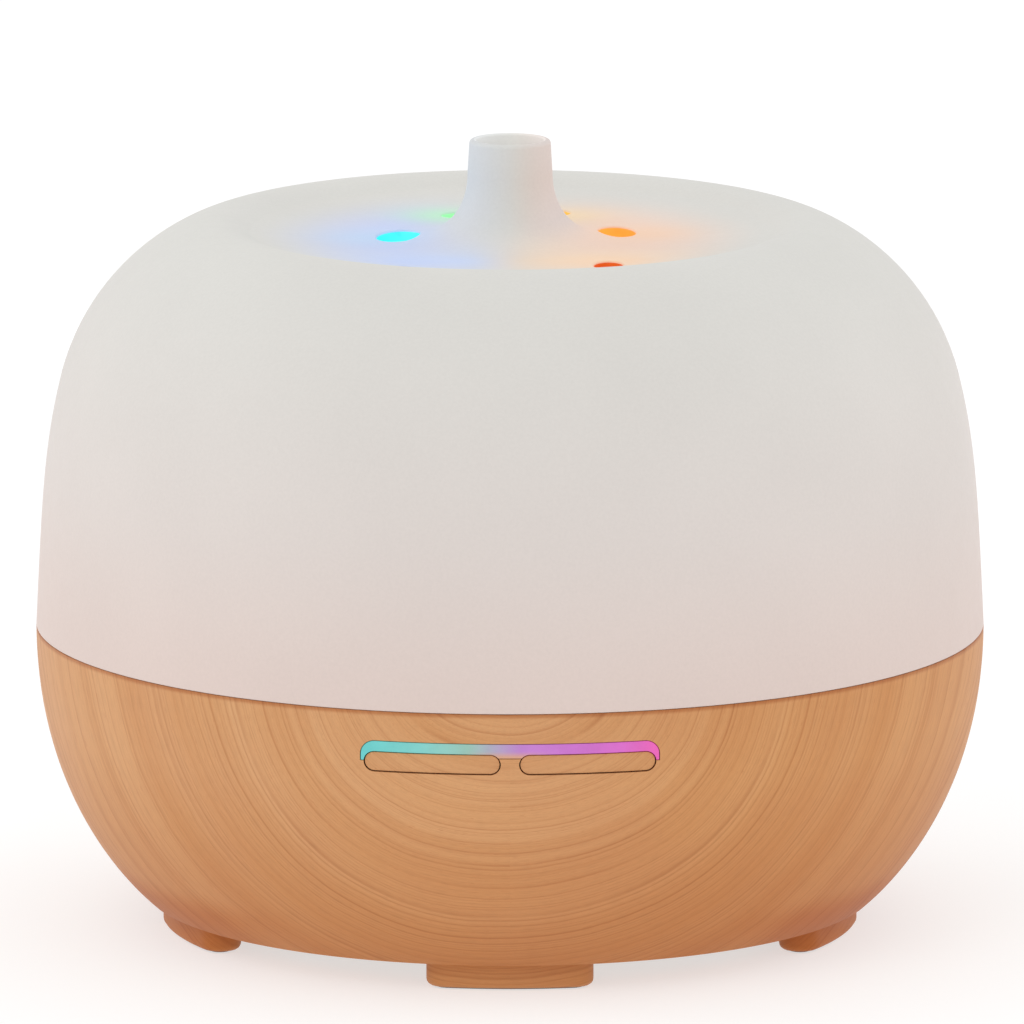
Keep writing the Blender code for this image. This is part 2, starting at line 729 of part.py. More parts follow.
def make_water_tank():
    """The white basin, with the disc's well, the air tower and the bosses under its floor."""
    shape = bmesh.new()
    add_turned(shape, tank_outline(), SHELL_STEPS)
    tank = piece("water_tank", shape, finish("tank_plastic", (0.85, 0.86, 0.86), 0.35))
    inside_floor = TANK_FLOOR_Z + 1.0
    bosses = bmesh.new()
    pilots = bmesh.new()
    for azimuth in CASE_SCREW_ANGLES:
        add_boss(bosses, pilots, polar(CASE_SCREW_RADIUS, azimuth), 3.8, 1.75, 10.3, 20.5)
    for azimuth in around(3, -90.0):
        add_boss(bosses, pilots, polar(CLAMP_SCREW_RADIUS, azimuth), 2.0, 1.1, 23.8, 25.6)
    for azimuth in LED_POST_ANGLES:
        top = LED_BOARD_Z + BOARD_THICKNESS + GAP
        spot = polar(LED_RING_RADIUS, azimuth)
        add_rod(bosses, 2.0, spot + Vector((0, 0, top)), spot + Vector((0, 0, inside_floor)))
    add_rod(bosses, TOWER_RADIUS, (0, FAN_Y, inside_floor), (0, FAN_Y, TOWER_TOP_Z), TUBE_STEPS)
    join(tank, "tank_bosses", bosses)
    add_rod(pilots, TOWER_BORE, (0, FAN_Y, 20.0), (0, FAN_Y, TOWER_TOP_Z + 5.0), TUBE_STEPS)
    cut(tank, "tank_holes", pilots)


def add_boss(bosses, pilots, spot, radius, pilot_radius, low, pilot_top):
    """A post from low up into the tank's floor, and a blind hole up it."""
    top = TANK_FLOOR_Z + 1.0
    add_rod(bosses, radius, spot + Vector((0, 0, low)), spot + Vector((0, 0, top)))
    add_rod(pilots, pilot_radius, spot + Vector((0, 0, low - 1.0)), spot + Vector((0, 0, pilot_top)))


def make_tank_seal():
    shape = bmesh.new()
    low, high = LEDGE_Z + GAP, TANK_FLANGE_Z - GAP
    add_turned(shape, [(78.0, low), (80.2, low), (80.2, high), (78.0, high)], SHELL_STEPS)
    piece("tank_seal", shape, finish("seal_silicone", (0.75, 0.75, 0.73), 0.6))


def make_air_hood():
    """The cap on the air tower: it keeps water out of the fan and turns the air to the middle."""
    outside = [(13.2, 64.0), (13.2, 77.5)] + bezier((13.2, 79.0), (13.2, 82.5), (9.0, 83.0), (0.0, 83.0), 5)
    inside = [(0.0, 81.2), (8.5, 80.9), (11.9, 77.5), (11.9, 64.0)]
    shape = bmesh.new()
    add_turned(shape, outside + inside, TUBE_STEPS, (0.0, FAN_Y, 0.0))
    hood = piece("air_hood", shape, finish("hood_plastic", (0.84, 0.85, 0.85), 0.4), (0, FAN_Y, 64.0))
    window = bmesh.new()
    add_box(window, (-8.0, 10.0, 73.0), (8.0, FAN_Y, 79.0))
    cut(hood, "hood_window", window)


def make_disc_parts(screw_look):
    """The ultrasonic disc with its seal above it, and the ring and screws that hold both up."""
    disc = bmesh.new()
    face = [(DISC_RADIUS, 23.7), (DISC_RADIUS, 24.6), (0.0, 24.6)]
    add_turned(disc, [(0.0, 23.2), (6.0, 23.2), (6.0, 23.7)] + face, TUBE_STEPS)
    piece("ultrasonic_disc", disc, finish("disc_metal", (0.72, 0.70, 0.66), 0.25, 1.0))
    seal = bmesh.new()
    add_turned(seal, [(6.8, 24.9), (9.2, 24.9), (9.2, 25.7), (6.8, 25.7)], TUBE_STEPS)
    piece("disc_seal", seal, finish("disc_rubber", (0.06, 0.06, 0.06), 0.8))
    clamp = bmesh.new()
    add_turned(clamp, [(6.6, 21.3), (CLAMP_RADIUS, 21.3), (CLAMP_RADIUS, 23.4), (6.6, 23.4)], TUBE_STEPS)
    ring = piece("disc_clamp", clamp, finish("clamp_metal", (0.55, 0.56, 0.58), 0.35, 1.0))
    holes = bmesh.new()
    for number, azimuth in enumerate(around(3, -90.0), 1):
        spot = polar(CLAMP_SCREW_RADIUS, azimuth)
        add_rod(holes, 1.1, spot + Vector((0, 0, 20.0)), spot + Vector((0, 0, 25.0)))
        head = spot + Vector((0, 0, 21.0))
        make_screw(f"clamp_screw_{number}", (1.7, 1.2, 0.8, 4.0), head, (0, 0, 1), screw_look)
    cut(ring, "clamp_holes", holes)


# ---------------------------------------------------------------- fan


def make_fan_housing():
    """A square frame round a bore, with a hub plate on three struts."""
    half, corner = FAN_SIDE / 2, 2.5
    plan = []
    for x, y, start in ((1, 1, 0), (-1, 1, 90), (-1, -1, 180), (1, -1, 270)):
        centre = (x * (half - corner), FAN_Y + y * (half - corner))
        plan += arc(centre, corner, start, start + 90, 3)
    shape = bmesh.new()
    add_prism(shape, plan, FAN_Z, FAN_Z + FAN_HEIGHT)
    look = finish("fan_frame_plastic", (0.04, 0.04, 0.045), 0.5)
    housing = piece("fan_housing", shape, look, (0, FAN_Y, FAN_Z))
    bore = bmesh.new()
    add_rod(bore, FAN_BORE, (0, FAN_Y, 5.0), (0, FAN_Y, 20.0), RING_STEPS)
    cut(housing, "fan_bore", bore)
    hub = bmesh.new()
    add_rod(hub, 7.0, (0, FAN_Y, FAN_Z), (0, FAN_Y, FAN_Z + 1.4), TUBE_STEPS)
    join(housing, "fan_hub_plate", hub)
    for number, azimuth in enumerate(around(3, 30.0), 1):
        strut = bmesh.new()
        add_box(strut, (5.0, -1.0, FAN_Z + 0.1), (14.8, 1.0, FAN_Z + 1.3))
        turn = Matrix.Translation((0, FAN_Y, 0)) @ Matrix.Rotation(math.radians(azimuth), 4, "Z")
        bmesh.ops.transform(strut, verts=strut.verts, matrix=turn)
        join(housing, f"fan_strut_{number}", strut)
    holes = bmesh.new()
    add_rod(holes, 2.5, (0, FAN_Y, 5.0), (0, FAN_Y, 10.0), 16)
    for x, y in FAN_SCREWS:
        add_rod(holes, 1.6, (x, y, 5.0), (x, y, 20.0))
    cut(housing, "fan_holes", holes)


def make_fan_bearing():
    shape = bmesh.new()
    outline = [(1.3, 7.7), (2.2, 7.7), (2.2, 8.9), (1.3, 8.9)]
    add_turned(shape, outline, 16, (0, FAN_Y, 0))
    look = finish("bearing_bronze", (0.55, 0.36, 0.16), 0.35, 1.0)
    piece("fan_bearing", shape, look, (0, FAN_Y, 7.7))


def add_blade(shape, azimuth):
    """One pitched blade: a slanted plate from the hub almost to the bore."""
    corners = {}
    sweep, low, rise, thick = 32.0, FAN_Z + 2.7, 5.4, 0.5
    for i, radius in enumerate((6.2, 13.2)):
        for j in range(4):
            share = j / 3
            angle = azimuth + (share - 0.5) * sweep
            for k in (-1, 1):
                z = low + rise * share + k * thick
                corners[i, j, k] = shape.verts.new(polar(radius, angle, z))
    for j in range(3):
        shape.faces.new([corners[0, j, 1], corners[1, j, 1], corners[1, j + 1, 1], corners[0, j + 1, 1]])
        below = [corners[0, j, -1], corners[0, j + 1, -1], corners[1, j + 1, -1], corners[1, j, -1]]
        shape.faces.new(below)
        for i in (0, 1):
            side = [corners[i, j, -1], corners[i, j, 1], corners[i, j + 1, 1], corners[i, j + 1, -1]]
            shape.faces.new(side)
    for j in (0, 3):
        shape.faces.new([corners[0, j, -1], corners[0, j, 1], corners[1, j, 1], corners[1, j, -1]])


def make_fan_rotor():
    """The rotor: a hub on a short shaft, and seven blades round it."""
    axis = empty("fan_axis", (0, FAN_Y, FAN_Z))
    shape = bmesh.new()
    shaft = [(0.0, 7.9), (1.0, 7.9), (1.0, 9.4)]
    hub = [(7.0, 9.4), (7.0, 16.2), (6.4, 16.8), (0.0, 16.8)]
    add_turned(shape, shaft + hub, TUBE_STEPS, (0, FAN_Y, 0))
    look = finish("fan_rotor_plastic", (0.05, 0.05, 0.055), 0.45)
    rotor = piece("fan_rotor", shape, look, (0, FAN_Y, FAN_Z), axis)
    blades = bmesh.new()
    for azimuth in around(7):
        add_blade(blades, azimuth)
    bmesh.ops.translate(blades, verts=blades.verts, vec=(0, FAN_Y, 0))
    join(rotor, "rotor_blades", blades)


def make_air_funnel():
    """The duct from the square fan to the round tower under the tank."""
    outline = [(14.2, 17.9), (15.6, 17.9), (12.6, 25.7), (11.0, 25.7)]
    shape = bmesh.new()
    add_turned(shape, outline, TUBE_STEPS, (0, FAN_Y, 0))
    look = finish("funnel_plastic", (0.35, 0.36, 0.38), 0.5)
    piece("air_funnel", shape, look, (0, FAN_Y, 17.9))


def make_fan_screws(look):
    for number, (x, y) in enumerate(FAN_SCREWS, 1):
        spot = Vector((x, y, 6.2))
        make_screw(f"fan_screw_{number}", (2.4, 1.3, 1.2, 9.8), spot, (0, 0, 1), look)


# ---------------------------------------------------------------- electronics


def make_led_board():
    """The C-shaped board under the tank, open at the back where the air goes up."""
    start, stop = LED_ARC
    shape = bmesh.new()
    plan = sector(17.0, 27.0, (start + stop) / 2, (stop - start) / 2, 22)
    add_prism(shape, plan, LED_BOARD_Z, LED_BOARD_Z + BOARD_THICKNESS)
    piece("led_board", shape, finish("led_board_laminate", (0.75, 0.76, 0.74), 0.4))


def make_leds():
    start, stop = LED_ARC[0] + 12.0, LED_ARC[1] - 12.0
    for k in range(LED_COUNT):
        azimuth = start + (stop - start) * k / (LED_COUNT - 1)
        low = LED_BOARD_Z + BOARD_THICKNESS + GAP
        shape = bmesh.new()
        add_box(shape, (-2.5, -2.5, low), (2.5, 2.5, low + 1.6))
        spot = polar(LED_RING_RADIUS, azimuth)
        turn = Matrix.Translation(spot) @ Matrix.Rotation(math.radians(azimuth), 4, "Z")
        bmesh.ops.transform(shape, verts=shape.verts, matrix=turn)
        look = finish(f"led_{k + 1}_lens", (0.9, 0.9, 0.8), 0.3)
        led = piece(f"led_{k + 1}", shape, look, spot + Vector((0, 0, low)))
        bevel = led.modifiers.new("edge", "BEVEL")
        bevel.width = 0.3 * MM
        bevel.segments = 1


def make_main_board(screw_look):
    low, high = MAIN_BOARD_Z, MAIN_BOARD_Z + BOARD_THICKNESS
    shape = bmesh.new()
    add_box(shape, (-27.0, -44.0, low), (27.0, -10.0, high))
    look = finish("main_board_laminate", (0.02, 0.22, 0.10), 0.4)
    board = piece("main_board", shape, look, (0.0, -27.0, low))
    holes = bmesh.new()
    for number, (x, y) in enumerate(BOARD_POSTS, 1):
        add_rod(holes, 1.3, (x, y, low - 2.0), (x, y, high + 2.0))
        spot = Vector((x, y, high + GAP))
        size = (2.0, 1.3, 0.85, 5.2)
        make_screw(f"main_board_screw_{number}", size, spot, (0, 0, -1), screw_look)
    cut(board, "main_board_holes", holes)


def make_board_parts():
    """What stands on the main board: coil, capacitor, driver transistor, heat sink and chip."""
    low = MAIN_BOARD_Z + BOARD_THICKNESS + GAP
    coil = bmesh.new()
    waist = [(3.5, low + 1.0), (3.5, low + 4.8), (4.5, low + 4.8), (4.5, low + 5.8), (0.0, low + 5.8)]
    add_turned(coil, [(0.0, low), (4.5, low), (4.5, low + 1.0)] + waist, 16, (-16, -23, 0))
    piece("inductor", coil, finish("coil_ferrite", (0.30, 0.14, 0.06), 0.4), (-16, -23, low))
    can = bmesh.new()
    groove = [(4.0, low + 0.9), (3.7, low + 1.2), (4.0, low + 1.5)]
    top = [(4.0, low + 5.6), (3.6, low + 6.0), (0.0, low + 6.0)]
    add_turned(can, [(0.0, low), (4.0, low)] + groove + top, 16, (-5, -27, 0))
    piece("capacitor", can, finish("capacitor_sleeve", (0.03, 0.04, 0.10), 0.35), (-5, -27, low))
    sink = bmesh.new()
    comb = [(7.0, -25.0), (7.0 + 3.2 * 4 + 1.2, -25.0)]
    for k in range(4, -1, -1):
        left = 7.0 + 3.2 * k
        comb += [(left + 1.2, -16.0), (left, -16.0)]
        if k:
            comb += [(left, -23.4), (left - 2.0, -23.4)]
    add_prism(sink, comb, low, low + 6.0)
    look = finish("heat_sink_aluminium", (0.70, 0.71, 0.72), 0.4, 1.0)
    piece("heat_sink", sink, look, (14, -22, low))
    transistor = bmesh.new()
    add_box(transistor, (10.5, -27.6, low), (17.0, -25.3, low + 5.4))
    look = finish("transistor_epoxy", (0.03, 0.03, 0.03), 0.45)
    piece("driver_transistor", transistor, look, (14, -26.5, low))
    chip = bmesh.new()
    add_box(chip, (-3.5, -41.0, low), (5.5, -36.0, low + 1.5))
    part = piece("controller_chip", chip, finish("chip_epoxy", (0.02, 0.02, 0.02), 0.4), (1, -38, low))
    bevel = part.modifiers.new("edge", "BEVEL")
    bevel.width = 0.3 * MM
    bevel.segments = 1


def make_dc_jack():
    """The power inlet: a round socket with a centre pin, and the contact block behind it."""
    front, back = INLET_FRONT_Y, INLET_FRONT_Y - 10.5
    barrel = [(0.0, back), (INLET_RADIUS, back), (INLET_RADIUS, front), (3.1, front)]
    pin = [(3.1, back + 1.5), (1.05, back + 1.5), (1.05, front - 1.2), (0.0, front - 1.2)]
    shape = bmesh.new()
    add_turned(shape, barrel + pin, 16, (0, 0, INLET_Z), "Y")
    look = finish("jack_plastic", (0.03, 0.03, 0.03), 0.4)
    jack = piece("dc_jack", shape, look, (0, front, INLET_Z))
    block = bmesh.new()
    add_box(block, (-5.3, back - 9.5, INLET_Z - 5.0), (5.3, back + 0.8, INLET_Z + 4.0))
    join(jack, "jack_block", block)


def smooth_route(points, steps):
    """A smooth curve through the points of a route."""
    route = [Vector(p) for p in points]
    padded = [route[0] * 2 - route[1]] + route + [route[-1] * 2 - route[-2]]
    made = []
    for a, b, c, d in zip(padded, padded[1:], padded[2:], padded[3:]):
        for k in range(steps):
            t = k / steps
            bend = (2 * a - 5 * b + 4 * c - d) * t * t + (3 * b - a - 3 * c + d) * t**3
            made.append((2 * b + (c - a) * t + bend) / 2)
    return made + [route[-1]]


def make_lead(name, route, radius, look):
    """An internal lead: a round tube along its route."""
    curve = bpy.data.curves.new(name, "CURVE")
    curve.dimensions = "3D"
    curve.bevel_depth = radius * MM
    curve.bevel_resolution = 2
    curve.use_fill_caps = True
    points = smooth_route(route, 3)
    spline = curve.splines.new("POLY")
    spline.points.add(len(points) - 1)
    for target, point in zip(spline.points, points):
        target.co = (*(point - Vector(route[0])) * MM, 1.0)
    curve.materials.append(look)
    made = bpy.data.objects.new(name, curve)
    bpy.context.scene.collection.objects.link(made)
    made.location = Vector(route[0]) * MM


def make_leads():
    jack = [(-3, 49.0, 16), (-7, 47.8, 15), (-19, 43, 13.6), (-23, 30, 13), (-21, 10, 13)]
    jack += [(-16, -4, 13.6), (-14.5, -14, 13.9)]
    make_lead("jack_lead", jack, 1.2, finish("jack_lead_vinyl", (0.60, 0.04, 0.03), 0.5))
    fan = [(15.4, 20, 12), (18.4, 19, 12), (21, 10, 12.8), (20, -2, 13.4), (18.5, -12.5, 13.6)]
    make_lead("fan_lead", fan, 0.8, finish("fan_lead_vinyl", (0.04, 0.04, 0.04), 0.5))
    disc = [(0, -2.6, 22.8), (0, -3.0, 19.5), (0, -6, 16), (0, -12, 14), (0.5, -18, 13.5)]
    make_lead("disc_lead", disc, 0.7, finish("disc_lead_vinyl", (0.75, 0.75, 0.72), 0.5))


# ---------------------------------------------------------------- assembly


def clear_scene():
    for item in list(bpy.data.objects):
        bpy.data.objects.remove(item, do_unlink=True)


def main():
    clear_scene()
    steel = finish("screw_steel", (0.62, 0.62, 0.62), 0.35, 1.0)
    cover_lift = empty("cover_lift_axis", (0, 0, SEAM_Z))
    make_outer_cover(cover_lift)
    make_mist_guide(cover_lift)
    make_light_ring(cover_lift)
    make_base_shell()
    make_foot_pads()
    make_bottom_cover()
    make_case_screws(steel)
    make_controls(steel)
    make_water_tank()
    make_tank_seal()
    make_air_hood()
    make_disc_parts(steel)
    make_fan_housing()
    make_fan_bearing()
    make_fan_rotor()
    make_air_funnel()
    make_fan_screws(steel)
    make_led_board()
    make_leds()
    make_main_board(steel)
    make_board_parts()
    make_dc_jack()
    make_leads()


main()
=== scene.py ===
"""Looks of the tabletop essential oil diffuser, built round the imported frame.

Shapes are drawn in millimetres in the frame's own axes (Z up along the round body, -Y to the front)
and scaled to metres when a piece is made.
"""

import json
import math

import bmesh
import bpy
from mathutils import Matrix, Vector
from mathutils.geometry import delaunay_2d_cdt


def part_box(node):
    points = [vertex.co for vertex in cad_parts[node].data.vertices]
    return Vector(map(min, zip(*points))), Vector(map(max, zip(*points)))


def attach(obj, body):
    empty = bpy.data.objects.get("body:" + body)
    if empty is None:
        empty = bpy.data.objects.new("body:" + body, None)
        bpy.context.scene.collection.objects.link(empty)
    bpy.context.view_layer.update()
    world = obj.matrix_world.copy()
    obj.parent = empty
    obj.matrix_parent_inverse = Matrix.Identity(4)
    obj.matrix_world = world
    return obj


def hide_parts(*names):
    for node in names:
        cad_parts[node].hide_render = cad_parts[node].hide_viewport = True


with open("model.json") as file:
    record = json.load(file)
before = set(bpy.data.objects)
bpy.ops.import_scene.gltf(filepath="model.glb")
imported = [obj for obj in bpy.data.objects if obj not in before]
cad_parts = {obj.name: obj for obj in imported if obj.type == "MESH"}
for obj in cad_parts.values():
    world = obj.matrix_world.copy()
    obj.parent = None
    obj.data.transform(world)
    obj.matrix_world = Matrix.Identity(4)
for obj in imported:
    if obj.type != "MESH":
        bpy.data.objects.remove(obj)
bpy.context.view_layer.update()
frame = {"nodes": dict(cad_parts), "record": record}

MM = 0.001
TURN_STEPS = 192
SMALL_STEPS = 96


def low(node):
    """The lowest corner of a CAD node, in millimetres."""
    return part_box(node)[0] / MM


def high(node):
    """The highest corner of a CAD node, in millimetres."""
    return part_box(node)[1] / MM


# Outer form, from the frame's boxes and the two shells' own curves
RADIUS = high("outer_cover").x
HEIGHT = high("outer_cover").z
COVER_LOW_Z = low("outer_cover").z
BASE_TOP_Z = high("base_shell").z
SEAM_Z = (COVER_LOW_Z + BASE_TOP_Z) / 2
FOOT_Z = low("base_shell").z
UNDERSIDE_Z = 5.1
UNDERSIDE_RADIUS = 64.5
SHELL_WALL = 2.2
COVER_WALL = 2.0
CREST = (52.0, 125.9)
SHOULDER = (79.93, 96.0)
ROLL = (45.6, 123.9)
VALLEY = (20.0, 122.6)
CHIMNEY_RADIUS = 7.5
CHIMNEY_TOP_RADIUS = 7.2
NOZZLE_RADIUS = 6.0
SPIGOT_LOW_Z = 116.0

# Windows in the crater: azimuth in degrees from +X, distance out, two widths, azimuth of the first
WINDOWS = (
    (20.0, 20.1, 6.6, 11.3, 9.0),
    (75.0, 27.4, 7.4, 7.0, 0.0),
    (109.5, 25.5, 7.6, 6.4, 0.0),
    (173.0, 19.9, 7.4, 12.4, -12.5),
    (240.0, 38.0, 5.2, 7.0, 0.0),
    (301.6, 32.9, 5.2, 9.0, 0.0),
)
WINDOW_FILLET = 0.35
PLATE_RADII = (14.0, 43.0)
PLATE_SPACING = 1.15

# Feet
FOOT_COUNT = 5
FOOT_RADII = (54.6, 62.0)
FOOT_HALF_ANGLE = 14.4
FOOT_CORNER = 3.6
FOOT_EDGE = 1.2
PAD_INSET = 1.6
PAD_THICKNESS = 1.5
PAD_GAP = 0.3

# Buttons and the light bar above them
BUTTON_INNER_X = 1.8
BUTTON_OUTER_X = 25.1
BUTTON_Z = 44.7
BUTTON_HEIGHT = 3.3
BUTTON_GAP = 0.22
BUTTON_RECESS = 0.3
BUTTON_EDGE = 0.22
FLANGE_RADIUS = 80.1
BAR_HALF_WIDTH = 25.8
BAR_TOP_Z = 48.35
BAR_HOOK_Z = 44.9
BAR_WEB_Z = 45.9
BAR_CORNER = 2.4
BAR_GAP = 0.14
BAR_DEPTH = 8.0

# Seam between the shells
SEAM_EDGE = 0.1
SEAM_GAP = 0.08

# Tank
TANK_RIM_RADIUS = high("water_tank").x
TANK_RIM_Z = 58.0
TANK_WALL = 2.0
TANK_FLANGE_Z = 50.4
TANK_FLOOR_Z = 26.0
WELL_RADIUS = 6.5
FAN_Y = 29.0
TOWER_BORE = 9.5
TOWER_RADIUS = 11.5
TOWER_TOP_Z = high("water_tank").z
CLAMP_SCREW_RADIUS = 11.8
LED_RING_RADIUS = 22.0
LED_POST_ANGLES = (174.0, 270.0, 366.0)
LED_BOARD_TOP_Z = high("led_board").z

# Bottom cover
BOTTOM_RADIUS = high("bottom_cover").x
BOTTOM_LOW_Z = low("bottom_cover").z
BOTTOM_TOP_Z = BOTTOM_LOW_Z + 2.0
CASE_SCREW_RADIUS = 50.0
CASE_SCREW_ANGLES = (45.0, 135.0, 225.0, 315.0)
BOARD_Z = low("main_board").z
BOARD_POSTS = ((22.0, -36.0), (-22.0, -13.0))
FAN_SCREWS = ((12.0, FAN_Y + 12.0), (-12.0, FAN_Y - 12.0))

# Power inlet
INLET_Z = 19.0
INLET_RADIUS = 5.9
INLET_FRONT_Y = high("dc_jack").y
INLET_DEPTH = 10.5
INLET_GAP = 0.3


# ---- curves


def bezier(start, first, second, end, steps):
    """Points of a cubic curve from start to end, both included."""
    points = []
    for k in range(steps + 1):
        t = k / steps
        weights = ((1 - t) ** 3, 3 * t * (1 - t) ** 2, 3 * t * t * (1 - t), t**3)
        corners = (start, first, second, end)
        points.append(tuple(sum(w * c[i] for w, c in zip(weights, corners)) for i in (0, 1)))
    return points


def arc(centre, radius, start, stop, steps):
    """Points of a circular arc, with angles in degrees."""
    points = []
    for k in range(steps + 1):
        angle = math.radians(start + (stop - start) * k / steps)
        points.append((centre[0] + radius * math.cos(angle), centre[1] + radius * math.sin(angle)))
    return points


def offset(points, distance):
    """The points moved sideways, to the left of their direction of travel."""
    moved = []
    for k, point in enumerate(points):
        before = Vector(points[max(k - 1, 0)])
        after = Vector(points[min(k + 1, len(points) - 1)])
        along = (after - before).normalized()
        moved.append((point[0] - along.y * distance, point[1] + along.x * distance))
    return moved


def round_box(x0, y0, x1, y1, radius, steps=4):
    """The outline of a box with round corners."""
    left, right, near, far = x0 + radius, x1 - radius, y0 + radius, y1 - radius
    centres = ((right, far), (left, far), (left, near), (right, near))
    points = []
    for k, centre in enumerate(centres):
        points += arc(centre, radius, 90 * k, 90 * k + 90, steps)
    return points


def polar(radius, azimuth, z=0.0):
    """The point at a distance from the Z axis, with its azimuth in degrees from +X."""
    angle = math.radians(azimuth)
    return Vector((radius * math.cos(angle), radius * math.sin(angle), z))


def around(count, start=0.0):
    """Equally spaced azimuths in degrees."""
    return [start + 360.0 * k / count for k in range(count)]


FOOT_AZIMUTHS = around(FOOT_COUNT, -90.0)


# ---- meshes


def ring_mesh(shape, outline, steps=TURN_STEPS, closed=True):
    """Adds a skin turned from (radius, height) points about Z."""
    rows = []
    for r, z in outline:
        if r < 1e-6:
            rows.append([shape.verts.new((0.0, 0.0, z))] * steps)
        else:
            rows.append([shape.verts.new(polar(r, azimuth, z)) for azimuth in around(steps)])
    for a, b in zip(rows, rows[1:] + rows[: int(closed)]):
        for j in range(steps):
            i = (j + 1) % steps
            corners = [a[j], a[i], b[i], b[j]]
            face = [v for n, v in enumerate(corners) if v not in corners[:n]]
            if len(face) > 2:
                shape.faces.new(face)


def turned(outline, steps=TURN_STEPS, centre=(0.0, 0.0, 0.0), along="Z"):
    """A solid of revolution, as a bmesh, about an axis through centre."""
    shape = bmesh.new()
    ring_mesh(shape, outline, steps)
    bmesh.ops.recalc_face_normals(shape, faces=shape.faces)
    turn = Matrix.Rotation(-math.pi / 2, 4, "X") if along == "Y" else Matrix.Identity(4)
    bmesh.ops.transform(shape, verts=shape.verts, matrix=Matrix.Translation(centre) @ turn)
    return shape


def skinned(loops):
    """A closed solid through loops of equal length, with a cap at each end, as a bmesh."""
    shape = bmesh.new()
    rows = [[shape.verts.new(p) for p in loop] for loop in loops]
    for a, b in zip(rows, rows[1:]):
        for j in range(len(a)):
            i = (j + 1) % len(a)
            shape.faces.new([a[j], a[i], b[i], b[j]])
    shape.faces.new(rows[0])
    shape.faces.new(rows[-1])
    bmesh.ops.recalc_face_normals(shape, faces=shape.faces)
    return shape


def prism(outline, start, stop, along="Z"):
    """An extruded outline: (x, y) points along Z, or (x, z) points along Y, as a bmesh."""
    if along == "Z":
        return skinned([[(u, v, w) for u, v in outline] for w in (start, stop)])
    return skinned([[(u, w, v) for u, v in outline] for w in (start, stop)])


def through_front(outline):
    """An (x, z) outline extruded through the bowl's front wall, as a bmesh."""
    return prism(outline, -92.0, -70.0, "Y")


def rod(radius, start, end, steps=SMALL_STEPS):
    """A cylinder between two points, as a bmesh."""
    line = Vector(end) - Vector(start)
    turn = line.to_track_quat("Z", "Y").to_matrix().to_4x4()
    shape = prism(arc((0, 0), radius, 0, 360 - 360 / steps, steps - 1), 0.0, line.length)
    bmesh.ops.transform(shape, verts=shape.verts, matrix=Matrix.Translation(start) @ turn)
    return shape


def gathered(shapes):
    """One bmesh of several, which it frees."""
    whole = bmesh.new()
    for shape in shapes:
        mesh = bpy.data.meshes.new("transfer")
        shape.to_mesh(mesh)
        shape.free()
        whole.from_mesh(mesh)
        bpy.data.meshes.remove(mesh)
    return whole


def linked(name, data):
    """A new object in the scene."""
    made = bpy.data.objects.new(name, data)
    bpy.context.scene.collection.objects.link(made)
    return made


def make(name, shape):
    """An object, in metres, of a bmesh drawn in millimetres."""
    bmesh.ops.scale(shape, verts=shape.verts, vec=(MM, MM, MM))
    mesh = bpy.data.meshes.new(name)
    shape.to_mesh(mesh)
    shape.free()
    return linked(name, mesh)


def smooth(made, angle=32):
    """Smooth shading, but for edges sharper than the angle in degrees."""
    made.data.shade_smooth()
    made.data.set_sharp_from_angle(angle=math.radians(angle))
    return made


def soften(made, width):
    """Rounds a piece's sharp edges."""
    bevel = made.modifiers.new("soft_edges", "BEVEL")
    bevel.width = width * MM
    bevel.segments = 3
    bevel.limit_method = "ANGLE"
    bevel.angle_limit = math.radians(50)
    bevel.harden_normals = True
    return made


def boolean(made, operation, shape):
    """Cuts, joins or trims an object by a bmesh, and applies the result to its mesh."""
    other = make(made.name + "_tool", shape)
    modifier = made.modifiers.new("tool", "BOOLEAN")
    modifier.operation = operation
    modifier.solver = "EXACT"
    modifier.object = other
    bpy.context.view_layer.update()
    evaluated = made.evaluated_get(bpy.context.evaluated_depsgraph_get())
    result = bpy.data.meshes.new_from_object(evaluated)
    made.modifiers.clear()
    old, tool = made.data, other.data
    made.data = result
    bpy.data.objects.remove(other)
    bpy.data.meshes.remove(tool)
    bpy.data.meshes.remove(old)
    result.name = made.name
    return made


def placed(made, body, slot, *nodes):
    """Gives a finished piece its slot's finish unless it has one, puts it in its body, and hides the CAD
    nodes it stands for.
    """
    if not made.data.materials:
        made.data.materials.append(FINISHES[slot])
    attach(made, body)
    if nodes:
        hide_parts(*nodes)


# ---- materials


